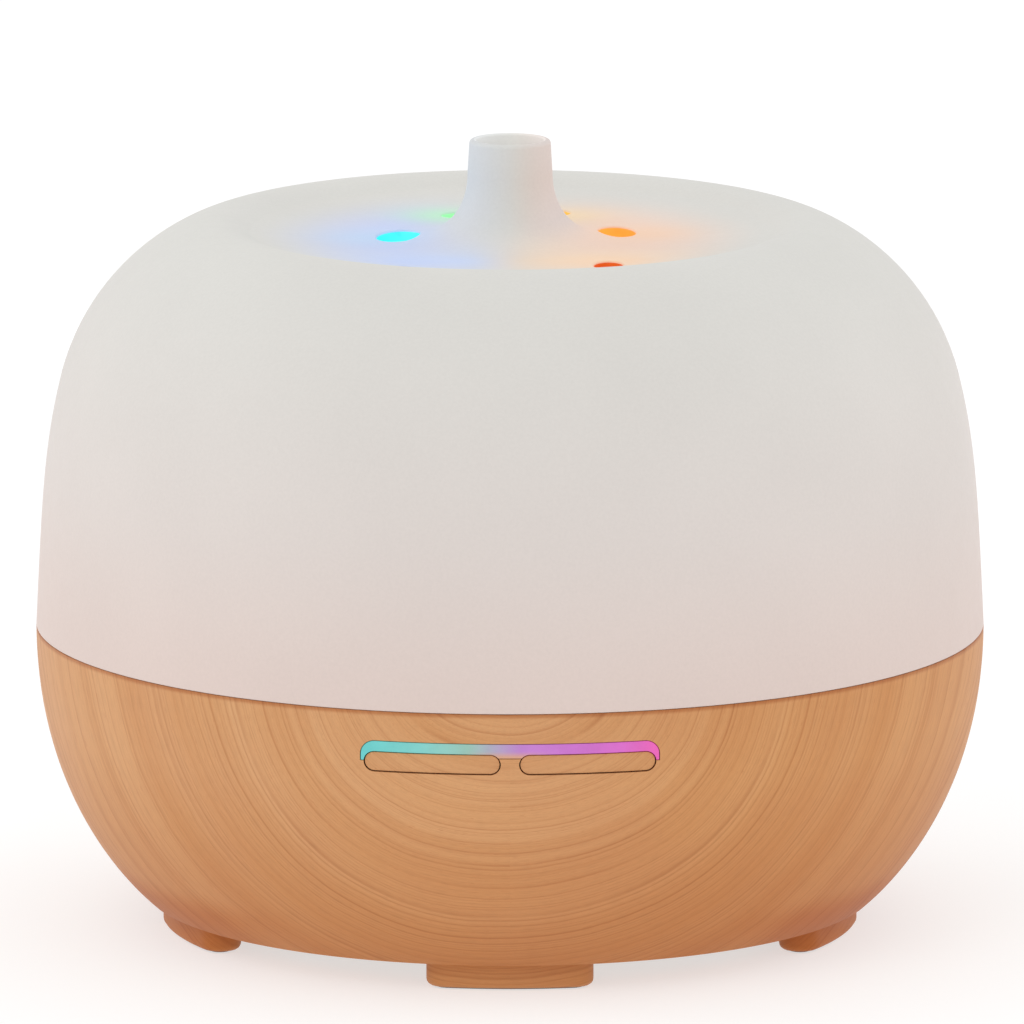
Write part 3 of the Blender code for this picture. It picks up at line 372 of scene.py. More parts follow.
class Tree:
    """A material's node tree, with a short method for each kind of node it uses."""

    def __init__(self, name):
        self.material = bpy.data.materials.new(name)
        self.material.use_nodes = True
        self.nodes = self.material.node_tree.nodes
        self.links = self.material.node_tree.links
        self.shader = self.nodes["Principled BSDF"]
        where = self.add("TexCoord").outputs["Object"]
        scaled = self.add("VectorMath", {0: where, "Scale": 1.0 / MM}, operation="SCALE")
        self.spot = scaled.outputs[0]
        self.x, self.y, self.z = self.add("SeparateXYZ", {0: self.spot}).outputs

    def put(self, socket, value):
        """Links a socket to another, or gives it a plain value."""
        if isinstance(value, bpy.types.NodeSocket):
            self.links.new(value, socket)
        elif isinstance(value, tuple) and len(value) == 3 and socket.type == "RGBA":
            socket.default_value = (*value, 1.0)
        else:
            socket.default_value = value

    def add(self, kind, inputs=(), **settings):
        """A new node, with its settings, and its inputs filled by name or number."""
        node = self.nodes.new("ShaderNode" + kind)
        for name, value in settings.items():
            setattr(node, name, value)
        for key, value in dict(inputs).items():
            self.put(node.inputs[key], value)
        return node

    def math(self, operation, *values):
        return self.add("Math", enumerate(values), operation=operation).outputs[0]

    def times(self, first, second):
        return self.math("MULTIPLY", first, second)

    def hypot(self, first, second):
        squares = [self.math("POWER", value, 2.0) for value in (first, second)]
        return self.math("SQRT", self.math("ADD", *squares))

    def vector(self, operation, *values):
        node = self.add("VectorMath", enumerate(values), operation=operation)
        return node.outputs["Value"] if operation in ("LENGTH", "DISTANCE") else node.outputs[0]

    def reach(self):
        """The distance from the Z axis."""
        return self.vector("LENGTH", self.vector("MULTIPLY", self.spot, (1.0, 1.0, 0.0)))

    def combined(self, *values):
        return self.add("CombineXYZ", enumerate(values)).outputs[0]

    def fractal(self, inputs, detail, dimensions):
        """Fractal noise from 0 to 1."""
        inputs = {**inputs, "Scale": 1.0, "Detail": detail}
        return self.add("TexNoise", inputs, noise_dimensions=dimensions).outputs["Fac"]

    def noise(self, size, detail=2.0, stretch=(1.0, 1.0, 1.0)):
        """Noise in space, whose lumps are about size millimetres across."""
        where = self.vector("MULTIPLY", self.spot, tuple(s / size for s in stretch))
        return self.fractal({"Vector": where}, detail, "3D")

    def flat_noise(self, spot):
        """Noise over a plane of values worked out elsewhere."""
        return self.fractal({"Vector": spot}, 2.0, "2D")

    def along(self, value, size):
        """Noise along one value, whose lumps are about size millimetres long."""
        return self.fractal({"W": self.math("DIVIDE", value, size)}, 2.0, "1D")

    def cycle(self, value, pitch):
        """How far a value is through its repeats, from 0 to 1."""
        return self.math("FRACT", self.math("DIVIDE", value, pitch))

    def random(self, value):
        """A random number from 0 to 1 for each whole value."""
        return self.add("TexWhiteNoise", {"W": value}, noise_dimensions="1D").outputs["Value"]

    def fit(self, value, start, stop, first=0.0, last=1.0, eased=False):
        """A value carried from one range to another and held at its ends."""
        inputs = {"Value": value, "From Min": start, "From Max": stop, "To Min": first, "To Max": last}
        style = "SMOOTHSTEP" if eased else "LINEAR"
        return self.add("MapRange", inputs, interpolation_type=style).outputs["Result"]

    def uneven(self, size, least, most, detail=2.0):
        """A number that wanders between two values, in lumps of about size millimetres."""
        return self.fit(self.noise(size, detail), 0.3, 0.7, least, most)

    def ramp(self, value, *stops, spline=False):
        """A colour, or a grey, that changes along a value: stops are (place, colour or number)."""
        node = self.add("ValToRGB", {"Fac": value})
        node.color_ramp.interpolation = "B_SPLINE" if spline else "LINEAR"
        elements = node.color_ramp.elements
        while len(elements) < len(stops):
            elements.new(0.5)
        for element, (place, colour) in zip(elements, stops):
            element.position = place
            grey = colour if isinstance(colour, tuple) else (colour,) * 3
            element.color = (*grey, 1.0)
        return node.outputs["Color"]

    def mix(self, share, first, second, blend="MIX"):
        inputs = {0: share, 6: first, 7: second}
        return self.add("Mix", inputs, data_type="RGBA", blend_type=blend).outputs[2]

    def shaded(self, colour, shade):
        """A colour made darker or lighter by a factor."""
        return self.mix(1.0, colour, self.combined(shade, shade, shade), "MULTIPLY")

    def tinted(self, share, colour, tint):
        """A colour, in part multiplied by a tint."""
        return self.mix(share, colour, self.mix(1.0, colour, tint, "MULTIPLY"))

    def spot_at(self, centre, size):
        """A soft round patch about a point, from 1 in its middle to 0 beyond about twice its size."""
        share = self.math("DIVIDE", self.vector("DISTANCE", self.spot, centre), size)
        return self.math("EXPONENT", self.times(self.times(share, share), -1.0))

    def bump(self, height, distance, strength=1.0):
        """A normal from a height from 0 to 1 that stands for distance millimetres."""
        inputs = {"Height": height, "Distance": distance * MM, "Strength": strength}
        self.links.new(self.add("Bump", inputs).outputs[0], self.shader.inputs["Normal"])

    def set(self, **values):
        """Sets the shader's inputs by their names, with _ for each space."""
        for name, value in values.items():
            self.put(self.shader.inputs[name.replace("_", " ")], value)


def srgb(red, green, blue):
    """A linear colour from display values of 0 to 255."""
    made = []
    for value in (red, green, blue):
        share = value / 255.0
        made.append(share / 12.92 if share <= 0.04045 else ((share + 0.055) / 1.055) ** 2.4)
    return tuple(made)


def wood_rings(t):
    """Distance out across the growth rings, and way along them, in millimetres.

    The heart lies just above the seam. Rings near it are wide ovals, and the outer ones almost round.
    """
    heart_z = 60.0
    up = t.math("SUBTRACT", t.z, heart_z)
    width = t.fit(t.hypot(t.x, up), 6.0, 52.0, 1.6, 1.09, eased=True)
    across = t.math("DIVIDE", t.x, width)
    distance = t.hypot(across, up)
    way = t.times(t.math("ARCTAN2", across, up), 30.0)
    for size, amount in ((60.0, 3.6), (22.0, 0.8), (7.0, 0.22)):
        shake = t.math("SUBTRACT", t.noise(size, 1.0), 0.5)
        distance = t.math("ADD", distance, t.times(shake, amount))
    return distance, way


def ring_lines(t, distance, spacing, drift, seed):
    """Dark lines along the rings, from 0 to 1: each darkens slowly and ends sharply."""
    shifted = t.math("ADD", distance, seed)
    wander = t.times(t.along(shifted, spacing * 3.5), drift)
    phase = t.math("ADD", t.math("DIVIDE", shifted, spacing), wander)
    share = t.math("FRACT", phase)
    line = t.ramp(share, (0.0, 0.45), (0.08, 0.05), (0.3, 0.0), (0.72, 0.25), (0.92, 1.0), (1.0, 0.45))
    strength = t.math("POWER", t.random(t.math("FLOOR", phase)), 1.6)
    return t.times(line, strength)


def wood_material():
    """Printed light oak with a satin lacquer, with painted shade low down, on the right, round the side
    feet and under the seam.
    """
    t = Tree("wood_grain")
    distance, way = wood_rings(t)
    patchy = t.combined(t.math("DIVIDE", distance, 9.0), t.math("DIVIDE", way, 30.0), 0.0)
    patches = t.fit(t.flat_noise(patchy), 0.35, 0.65, 0.25, 1.0)
    strong = t.times(ring_lines(t, distance, 2.3, 2.0, 0.0), patches)
    medium = t.times(ring_lines(t, distance, 1.15, 1.4, 40.0), 0.7)
    fine = t.times(ring_lines(t, distance, 0.58, 1.1, 90.0), 0.5)
    dark = t.math("MAXIMUM", t.math("MAXIMUM", t.times(strong, 0.85), medium), fine)
    bands = t.fit(t.along(distance, 8.0), 0.3, 0.7)
    light = t.mix(bands, srgb(216, 163, 114), srgb(207, 149, 97))
    redder = t.fit(t.noise(30.0), 0.45, 0.75, 0.0, 0.5)
    light = t.mix(redder, light, srgb(206, 148, 103))
    colour = t.mix(t.times(dark, 0.72), light, srgb(165, 98, 52))
    thread = t.combined(t.math("DIVIDE", distance, 0.16), t.math("DIVIDE", way, 1.9), 0.0)
    fibre = t.flat_noise(thread)
    colour = t.shaded(colour, t.fit(fibre, 0.25, 0.75, 0.93, 1.06))
    pores = t.fit(fibre, 0.66, 0.76)
    colour = t.mix(t.times(pores, 0.4), colour, srgb(165, 104, 64))
    # Painted shade: the wood turns darker and warmer towards the bottom, where less light reaches it.
    painted_low_shade = t.ramp(t.fit(t.z, 0.0, 40.0), (0.0, 0.62), (0.14, 0.9), (0.3, 0.7), (1.0, 0.0))
    colour = t.tinted(painted_low_shade, colour, srgb(228, 200, 162))
    # Painted shade: the right side is darker and warmer, as if turned from the light.
    painted_right_shade = t.fit(t.x, 0.0, 45.0, 0.0, 0.9, eased=True)
    colour = t.tinted(painted_right_shade, colour, srgb(250, 240, 222))
    # Painted shade: the lower sides round the side feet are darker and warmer.
    side = t.fit(t.math("ABSOLUTE", t.x), 35.0, 55.0, eased=True)
    painted_foot_shade = t.times(side, t.fit(t.z, 15.0, 9.0, eased=True))
    colour = t.tinted(painted_foot_shade, colour, srgb(240, 212, 168))
    # Painted shade: a dark band just under the seam, where the cover's edge shades the bowl.
    painted_seam_shade = t.fit(t.z, SEAM_Z - 1.0, SEAM_Z - 0.2, 0.0, 0.8, eased=True)
    colour = t.tinted(painted_seam_shade, colour, srgb(214, 178, 146))
    t.set(Base_Color=colour, Roughness=t.fit(dark, 0.0, 1.0, 0.5, 0.6))
    t.set(Specular_IOR_Level=0.3)
    relief = t.math("ADD", t.times(dark, -0.5), t.times(fibre, -0.5))
    t.bump(relief, 0.04, 0.5)
    return t.material


GLOW_STOPS = (
    (0.0, srgb(250, 150, 60)),
    (0.05, srgb(252, 158, 62)),
    (0.14, srgb(252, 178, 66)),
    (0.22, srgb(250, 196, 84)),
    (0.29, srgb(160, 250, 165)),
    (0.34, srgb(150, 250, 180)),
    (0.44, srgb(76, 246, 250)),
    (0.5, srgb(28, 232, 255)),
    (0.66, srgb(110, 140, 255)),
    (0.76, srgb(190, 120, 230)),
    (0.82, srgb(222, 78, 20)),
    (0.86, srgb(226, 96, 26)),
    (0.88, srgb(250, 190, 96)),
    (1.0, srgb(250, 150, 60)),
)


def hue_round(t):
    """The light's colour by azimuth round the chimney."""
    turn = t.math("DIVIDE", t.math("ARCTAN2", t.y, t.x), math.tau)
    return t.ramp(t.math("FRACT", t.math("ADD", turn, 1.0)), *GLOW_STOPS)


def cover_colour_with_painted_light(t):
    """The cover's colour, with painted warm light near the wood, and neutral above."""
    return t.ramp(
        t.fit(t.z, 50.0, 130.0),
        (0.0, srgb(220, 200, 192)),
        (0.2, srgb(221, 206, 199)),
        (0.4, srgb(220, 211, 206)),
        (0.7, srgb(219, 215, 210)),
        (1.0, srgb(224, 224, 219)),
        spline=True,
    )


def painted_crater_glow(t, colour):
    """Paints the lamps' light into the crater's colour as soft patches, strongest round its windows."""
    inside = t.times(t.fit(t.reach(), 46.0, 22.0, eased=True), t.fit(t.z, 118.0, 119.0))
    front = t.times(inside, t.fit(t.y, -6.0, -26.0, eased=True))
    for area, start, stop, tint in (
        (inside, -2.0, -22.0, srgb(205, 216, 252)),
        (inside, -4.0, 19.0, srgb(248, 217, 198)),
        (front, 4.0, -10.0, srgb(206, 221, 252)),
        (front, -8.0, 13.0, srgb(250, 222, 192)),
    ):
        colour = t.mix(t.times(area, t.fit(t.x, start, stop, eased=True)), colour, tint)
    for azimuth, distance, size, tint, share in (
        (116.0, 26.0, 7.5, srgb(190, 250, 205), 0.75),
        (68.0, 25.0, 7.5, srgb(255, 226, 178), 0.7),
        (180.0, 24.0, 9.0, srgb(196, 226, 255), 0.6),
        (12.0, 24.0, 8.0, srgb(255, 214, 180), 0.6),
        (306.0, 31.0, 7.0, srgb(255, 212, 172), 0.6),
        (234.0, 31.0, 7.0, srgb(196, 214, 255), 0.6),
    ):
        patch = t.spot_at(polar(distance, azimuth, VALLEY[1]), size)
        colour = t.mix(t.times(patch, share), colour, tint)
    return colour


def painted_chimney_light(t, colour):
    """Painted light from the windows on the chimney above the crater: a cool side and a warm side."""
    near = t.fit(t.reach(), 20.0, 13.0, eased=True)
    column = t.times(near, t.fit(t.z, 123.0, 127.0, eased=True))
    side = t.ramp(
        t.fit(t.x, -8.0, 8.0),
        (0.0, srgb(216, 219, 224)),
        (0.5, srgb(219, 220, 214)),
        (0.75, srgb(224, 213, 207)),
        (1.0, srgb(224, 212, 208)),
        spline=True,
    )
    return t.mix(column, colour, side)


def cover_material():
    """Translucent matt white polypropylene with a fine spark-eroded texture, and painted light: warm near
    the wood, the lamps' colours in the crater and on the chimney, and a glow in the bore.
    """
    t = Tree("cover_plastic")
    colour = painted_chimney_light(t, painted_crater_glow(t, cover_colour_with_painted_light(t)))
    colour = t.shaded(colour, t.times(t.uneven(34.0, 0.985, 1.015), t.uneven(0.55, 0.985, 1.015)))
    t.set(Base_Color=colour, Roughness=t.uneven(3.0, 0.5, 0.6))
    t.set(Specular_IOR_Level=0.35)
    # Painted light: the nozzle's bore is given a faint glow, standing for light inside it.
    bore = t.fit(t.reach(), 6.2, 6.5, 1.0, 0.0)
    lit = t.times(bore, t.fit(t.z, 124.0, 138.0))
    t.set(Emission_Color=t.mix(lit, (0.0, 0.0, 0.0), srgb(250, 250, 246)), Emission_Strength=0.17)
    t.bump(t.noise(0.45), 0.02, 0.35)
    return t.material


def window_material():
    """The windows' walls, with a painted glow in the lamps' colours standing for light from below."""
    t = Tree("window_glow")
    hue = hue_round(t)
    hue = t.shaded(hue, t.uneven(2.2, 0.92, 1.06, 1.0))
    t.set(Base_Color=t.mix(0.75, hue, (0.0, 0.0, 0.0)), Roughness=0.45)
    t.set(Emission_Color=hue, Emission_Strength=0.85)
    return t.material


def light_ring_material():
    """Frosted acrylic that glows in the lamps' colours under the windows."""
    t = Tree("light_ring_acrylic")
    hue = hue_round(t)
    frost = t.uneven(0.6, 0.96, 1.03)
    hue = t.shaded(hue, frost)
    t.set(Base_Color=t.mix(0.8, hue, (0.02, 0.02, 0.02)), Roughness=t.fit(frost, 0.96, 1.03, 0.4, 0.5))
    t.set(Emission_Color=hue, Emission_Strength=0.9)
    t.bump(t.noise(0.4), 0.02, 0.4)
    return t.material


# ---- outlines of the two shells


def bowl_curve(steps):
    """The bowl's outside, from the seam down to the underside."""
    return bezier(
        (RADIUS, SEAM_Z),
        (RADIUS, 20.6),
        (UNDERSIDE_RADIUS + 0.76, UNDERSIDE_Z + 0.76),
        (UNDERSIDE_RADIUS, UNDERSIDE_Z),
        steps,
    )


def cover_side_curve(steps):
    """The cover's outside, from the seam up to the crest."""
    lower = bezier(
        (RADIUS, COVER_LOW_Z),
        (RADIUS - 1.0, COVER_LOW_Z + 19.85),
        (SHOULDER[0] + 2.76, SHOULDER[1] - 12.0),
        SHOULDER,
        steps,
    )
    upper = bezier(
        SHOULDER,
        (SHOULDER[0] - 4.33, SHOULDER[1] + 20.6),
        (CREST[0] + 6.5, CREST[1]),
        CREST,
        steps,
    )
    return lower + upper[1:]


def crater_curve(steps):
    """From the crest over a short roll, and down into the valley round the chimney."""
    roll = bezier(CREST, (CREST[0] - 3.1, CREST[1]), (ROLL[0] + 1.4, ROLL[1] + 0.38), ROLL, steps)
    valley_handle = (VALLEY[0] + 13.0, VALLEY[1])
    return roll + bezier(ROLL, (ROLL[0] - 4.0, ROLL[1] - 1.1), valley_handle, VALLEY, steps)[1:]


def flare_curve(steps):
    """From the valley up the chimney's flare."""
    return bezier(
        VALLEY,
        (VALLEY[0] - 8.9, VALLEY[1]),
        (CHIMNEY_RADIUS, 127.9),
        (CHIMNEY_RADIUS, 134.4),
        steps,
    )


def height_on(curve, radius):
    """The height of a curve that runs inwards, at a distance from the axis."""
    for (r0, z0), (r1, z1) in zip(curve, curve[1:]):
        if r0 >= radius >= r1:
            share = (r0 - radius) / (r0 - r1)
            return z0 + (z1 - z0) * share
    return curve[-1][1]


# ---- cover


def window_loop(window, steps=72):
    """A loop of plan points round a window, whose first width lies along the azimuth lean."""
    azimuth, distance, first, second, lean = window
    loop = []
    for k in range(steps):
        angle = math.tau * k / steps
        point = polar(distance, azimuth) + polar(first / 2 * math.cos(angle), lean)
        point += polar(second / 2 * math.sin(angle), lean + 90)
        loop.append((point.x, point.y))
    return loop


def window_share(window, x, y):
    """How far a plan point lies from a window's middle, as a share of the ellipse: 1 on its edge."""
    azimuth, distance, first, second, lean = window
    away = Vector((x, y, 0.0)) - polar(distance, azimuth)
    along = away.dot(polar(1.0, lean)) / (first / 2)
    across = away.dot(polar(1.0, lean + 90)) / (second / 2)
    return math.hypot(along, across)


def grown(window, amount):
    """A window made wider all round."""
    azimuth, distance, first, second, lean = window
    return azimuth, distance, first + 2 * amount, second + 2 * amount, lean


def plate_points():
    """Plan points and edges of the crater's plate. It returns them with each point's drop below
    the surface and the loops at the windows' edges."""
    points, edges, drops, mouths = [], [], [], []

    def add_loop(loop, drop):
        start = len(points)
        points.extend(loop)
        drops.extend([drop] * len(loop))
        edges.extend((start + k, start + (k + 1) % len(loop)) for k in range(len(loop)))
        return range(start, start + len(loop))

    for radius in PLATE_RADII:
        add_loop([tuple(polar(radius, azimuth)[:2]) for azimuth in around(TURN_STEPS)], 0.0)
    for window in WINDOWS:
        for angle in (90.0, 60.0, 30.0, 0.0):
            outward = WINDOW_FILLET * (1 - math.sin(math.radians(angle)))
            drop = WINDOW_FILLET * (1 - math.cos(math.radians(angle)))
            loop = add_loop(window_loop(grown(window, outward)), drop)
            if angle == 90.0:
                mouths.append(loop)
        add_loop(window_loop(grown(window, WINDOW_FILLET + 0.45)), 0.0)
    inner, outer = PLATE_RADII
    rows = round((outer - inner) / PLATE_SPACING)
    for row in range(1, rows):
        radius = inner + (outer - inner) * row / rows
        count = round(math.tau * radius / PLATE_SPACING)
        for azimuth in around(count, 180.0 / count * (row % 2)):
            spot = polar(radius, azimuth)
            if all(window_share(grown(w, WINDOW_FILLET + 1.0), *spot[:2]) > 1 for w in WINDOWS):
                points.append((spot.x, spot.y))
                drops.append(0.0)
    return points, edges, drops, mouths


def plate_faces(points, edges):
    """Triangles between the plate's two rims, without those in the windows."""
    made = delaunay_2d_cdt([Vector(p) for p in points], edges, [], 0, 1e-6)
    corners, triangles, sources = made[0], made[2], made[3]
    faces = []
    for triangle in triangles:
        middle = sum((corners[k] for k in triangle), Vector((0, 0))) / 3
        if middle.length < PLATE_RADII[0] + 0.05:
            continue
        if any(window_share(w, *middle) < 1 for w in WINDOWS):
            continue
        faces.append([sources[k][0] for k in triangle])
    return faces


def add_plate(shape, outer_curve, inner_curve):
    """The crater's plate with its windows: an upper and a lower skin, and walls between them."""
    points, edges, drops, mouths = plate_points()
    faces = plate_faces(points, edges)
    upper, lower = [], []
    for (x, y), drop in zip(points, drops):
        radius = math.hypot(x, y)
        upper.append(shape.verts.new((x, y, height_on(outer_curve, radius) - drop)))
        lower.append(shape.verts.new((x, y, height_on(inner_curve, radius))))
    for a, b, c in faces:
        shape.faces.new((upper[a], upper[b], upper[c]))
        shape.faces.new((lower[c], lower[b], lower[a]))
    for mouth in mouths:
        ring = list(mouth)
        rows = [[upper[k] for k in ring]]
        for share in (0.33, 0.67):
            rows.append([shape.verts.new(upper[k].co.lerp(lower[k].co, share)) for k in ring])
        rows.append([lower[k] for k in ring])
        for above, below in zip(rows, rows[1:]):
            for k in range(len(ring)):
                n = (k + 1) % len(ring)
                wall = shape.faces.new((above[k], below[k], below[n], above[n]))
                wall.material_index = 1


def split_curve(curve, low_radius, high_radius):
    """The parts of an inward curve outside and inside a stretch of radii, cut exactly at its ends."""
    before = [p for p in curve if p[0] > high_radius + 1e-6]
    before.append((high_radius, height_on(curve, high_radius)))
    after = [p for p in curve if p[0] < low_radius - 1e-6]
    after.insert(0, (low_radius, height_on(curve, low_radius)))
    return before, after


def make_cover():
    """The white cover: shoulder, crater with windows, chimney, spigot and seam rim."""
    side = cover_side_curve(26)
    top = crater_curve(40) + flare_curve(40)[1:]
    lip = arc((CHIMNEY_TOP_RADIUS - 0.7, HEIGHT - 0.7), 0.7, 0, 90, 6)
    mouth = arc((NOZZLE_RADIUS + 0.35, HEIGHT - 0.35), 0.35, 90, 180, 4)
    spigot_radius = NOZZLE_RADIUS + 1.6
    under = offset(side + top[1:], COVER_WALL)
    roof = [p for p in under if p[0] > spigot_radius + 0.8]
    throat = [(NOZZLE_RADIUS, SPIGOT_LOW_Z), (spigot_radius, SPIGOT_LOW_Z)]
    throat.append((spigot_radius, roof[-1][1] - 0.4))
    rim_radius = RADIUS - COVER_WALL - 1.0
    low_z = SEAM_Z + SEAM_GAP / 2
    rim = [(RADIUS - COVER_WALL, 61.0), (rim_radius, 60.0), (rim_radius, low_z + 0.25)]
    rim += [(rim_radius + 0.25, low_z), (RADIUS - SEAM_EDGE, low_z)]
    outer_side, outer_neck = split_curve(side + top[1:], *PLATE_RADII)
    inner_side, inner_neck = split_curve(roof, *PLATE_RADII)
    inner_side = [p for p in inner_side if p[1] > 63.0 or p[0] < 70.0]
    outer_side[0] = (RADIUS, low_z + SEAM_EDGE)
    shape = bmesh.new()
    ring_mesh(shape, inner_side[::-1] + rim + outer_side, closed=False)
    ring_mesh(shape, outer_neck + lip + mouth + throat + inner_neck[::-1], closed=False)
    add_plate(shape, side + top[1:], roof)
    bmesh.ops.remove_doubles(shape, verts=shape.verts, dist=1e-4)
    bmesh.ops.recalc_face_normals(shape, faces=shape.faces)
    cover = smooth(make("cover_shell", shape), 40)
    cover.data.materials.append(FINISHES["cover_plastic"])
    cover.data.materials.append(window_material())
    placed(cover, "cover", "cover_plastic", "outer_cover")


# ---- bowl


def bowl_outline():
    """The bowl's wall, its ledge for the tank, and its floor round the bottom cover."""
    wall = RADIUS - 2.6
    floor_z = UNDERSIDE_Z + SHELL_WALL + 0.2
    rebate = high("bottom_cover").x + 0.3
    top_z = SEAM_Z - SEAM_GAP / 2
    outside = [(RADIUS - SEAM_EDGE, top_z), (RADIUS, top_z - SEAM_EDGE)]
    outside += [p for p in bowl_curve(64) if p[1] < top_z - 0.4]
    recess = [(rebate + 0.3, UNDERSIDE_Z), (rebate, UNDERSIDE_Z + 0.3), (rebate, 7.6), (47.0, 7.6)]
    floor = [(47.0, 10.0), (55.2, 10.0), (55.2, floor_z), (62.2, floor_z)]
    inside = offset(bowl_curve(24), -SHELL_WALL)[::-1]
    inside = [point for point in inside if floor_z + 0.6 < point[1] < 43.0]
    ledge = [(wall, 44.6), (77.2, 47.6), (77.2, 48.6), (wall, 48.6)]
    return outside + recess + floor + inside + ledge + [(wall, top_z - 0.2), (wall + 0.2, top_z)]


def bowl_solid(grow):
    """The whole bowl as one solid, grown outwards, as a bmesh."""
    outside = offset(bowl_curve(64), grow)
    top, bottom = outside[0][1], outside[-1][1]
    return turned([(0.0, top)] + outside + [(0.0, bottom)])


def foot_loop(azimuth, inset, z):
    """A foot's plan outline at one height: a block between two radii with round corners."""
    inner, outer = FOOT_RADII
    middle = (inner + outer) / 2
    half = math.radians(FOOT_HALF_ANGLE) * middle - inset
    inner, outer = inner + inset, outer - inset
    plan = round_box(-half, inner, half, outer, max(FOOT_CORNER - inset, 0.3), 8)
    fine = []
    for k, point in enumerate(plan):
        on = plan[(k + 1) % len(plan)]
        parts = max(1, round(math.dist(point, on) / 1.6))
        fine += [tuple(Vector(point).lerp(Vector(on), j / parts)) for j in range(parts)]
    return [polar(r, azimuth - math.degrees(s / middle), z) for s, r in fine]


def foot_stack(azimuth, levels):
    """A solid through a foot's plan at (height, inset) levels."""
    count = len(foot_loop(azimuth, 0.0, 0.0))
    return skinned([resampled(foot_loop(azimuth, inset, z), count) for z, inset in levels])


def foot_block(azimuth):
    """A foot: round bottom edges, straight sides and a small fillet against the bowl."""
    levels = []
    for angle in (90, 67, 45, 22, 0):
        rise, inset = 1 - math.sin(math.radians(angle)), 1 - math.cos(math.radians(angle))
        levels.append((FOOT_Z + FOOT_EDGE * rise, FOOT_EDGE * inset))
    levels += [(2.9, 0.0), (4.3, 0.0), (4.7, -0.1), (5.1, -0.4), (5.4, -0.9), (6.5, -0.9)]
    return foot_stack(azimuth, levels)


def resampled(loop, count):
    """A closed loop with its points spread again, to a wanted number."""
    lengths = [0.0]
    for a, b in zip(loop, loop[1:] + loop[:1]):
        lengths.append(lengths[-1] + (b - a).length)
    points, k = [], 0
    for j in range(count):
        target = lengths[-1] * j / count
        while lengths[k + 1] < target:
            k += 1
        share = (target - lengths[k]) / (lengths[k + 1] - lengths[k])
        points.append(loop[k].lerp(loop[(k + 1) % len(loop)], share))
    return points


def bar_outline(grow):
    """The light bar from the front: a band over both buttons whose ends hook down round them."""
    half, top, hook = BAR_HALF_WIDTH + grow, BAR_TOP_Z + grow, BAR_HOOK_Z - grow
    radius = BAR_CORNER + grow
    leg, web = BUTTON_OUTER_X - BUTTON_HEIGHT / 2, BAR_WEB_Z - grow
    right = arc((half - radius, top - radius), radius, 0, 90, 16)
    left = arc((radius - half, top - radius), radius, 90, 180, 16)
    below = [(-half, hook), (-leg, hook), (-leg, web), (leg, web), (leg, hook), (half, hook)]
    return right + left + below


def button_outline(side, grow):
    """A button from the front: a bar with fully round ends."""
    inner, outer = sorted((side * BUTTON_INNER_X, side * BUTTON_OUTER_X))
    radius = BUTTON_HEIGHT / 2 + grow
    right = arc((outer + grow - radius, BUTTON_Z), radius, -90, 90, 20)
    left = arc((inner - grow + radius, BUTTON_Z), radius, 90, 270, 20)
    return right + left


def button_slots():
    """Both buttons' openings, as bmeshes."""
    return [through_front(button_outline(side, BUTTON_GAP)) for side in (-1, 1)]


def make_bowl():
    """The wood-grain bowl with its feet and openings."""
    bowl = make("wood_bowl", turned(bowl_outline()))
    boolean(bowl, "UNION", gathered([foot_block(azimuth) for azimuth in FOOT_AZIMUTHS]))
    pad_recess = [(z, PAD_INSET - PAD_GAP) for z in (-1.0, PAD_THICKNESS + PAD_GAP)]
    cuts = button_slots()
    cuts.append(rod(INLET_RADIUS + INLET_GAP, (0, 60.0, INLET_Z), (0, 95.0, INLET_Z)))
    cuts += [foot_stack(azimuth, pad_recess) for azimuth in FOOT_AZIMUTHS]
    boolean(bowl, "DIFFERENCE", gathered(cuts))
    boolean(bowl, "DIFFERENCE", through_front(bar_outline(BAR_GAP)))
    smooth(bowl)
    placed(bowl, "base", "wood_grain", "base_shell")


def make_button(name, side):
    """A bar-shaped button with soft edges, a little below the bowl's surface."""
    button = make(name + "_cap", through_front(button_outline(side, 0.0)))
    boolean(button, "INTERSECT", bowl_solid(-BUTTON_RECESS))
    boolean(button, "DIFFERENCE", rod(FLANGE_RADIUS, (0, 0, 38.0), (0, 0, 52.0), 360))
    soften(smooth(button), BUTTON_EDGE)
    placed(button, name + "_body", "wood_grain", name)


def bar_material():
    """Frosted acrylic lit teal from one end and pink from the other, faint between the buttons."""
    t = Tree("light_bar_acrylic")
    hue = t.ramp(
        t.fit(t.x, -BAR_HALF_WIDTH, BAR_HALF_WIDTH),
        (0.0, srgb(98, 204, 202)),
        (0.2, srgb(124, 204, 198)),
        (0.36, srgb(150, 194, 180)),
        (0.45, srgb(172, 162, 190)),
        (0.54, srgb(190, 126, 204)),
        (0.7, srgb(202, 112, 204)),
        (0.88, srgb(214, 102, 196)),
        (1.0, srgb(236, 94, 182)),
    )
    hue = t.shaded(hue, t.uneven(3.0, 0.95, 1.04))
    middle = t.fit(t.math("ABSOLUTE", t.x), 2.5, 9.0, 0.9, 0.0, eased=True)
    low_edge = t.fit(t.z, BAR_WEB_Z, BAR_WEB_Z + 1.4, 1.0, 0.0, eased=True)
    hue = t.mix(t.times(middle, low_edge), hue, srgb(216, 160, 116))
    t.set(Base_Color=t.mix(0.12, hue, (0.0, 0.0, 0.0)), Roughness=0.35)
    t.set(Emission_Color=hue, Emission_Strength=0.14)
    t.bump(t.noise(0.5), 0.01, 0.3)
    return t.material


def make_light_bar():
    """The translucent bar above the buttons."""
    bar = make("light_bar", prism(bar_outline(0.0), -92.0, low("light_guide").y + BAR_DEPTH, "Y"))
    boolean(bar, "INTERSECT", bowl_solid(0.0))
    boolean(bar, "DIFFERENCE", gathered(button_slots()))
    smooth(bar)
    placed(bar, "base", "light_guide_acrylic", "light_guide")


# ---- finishes of the smaller pieces


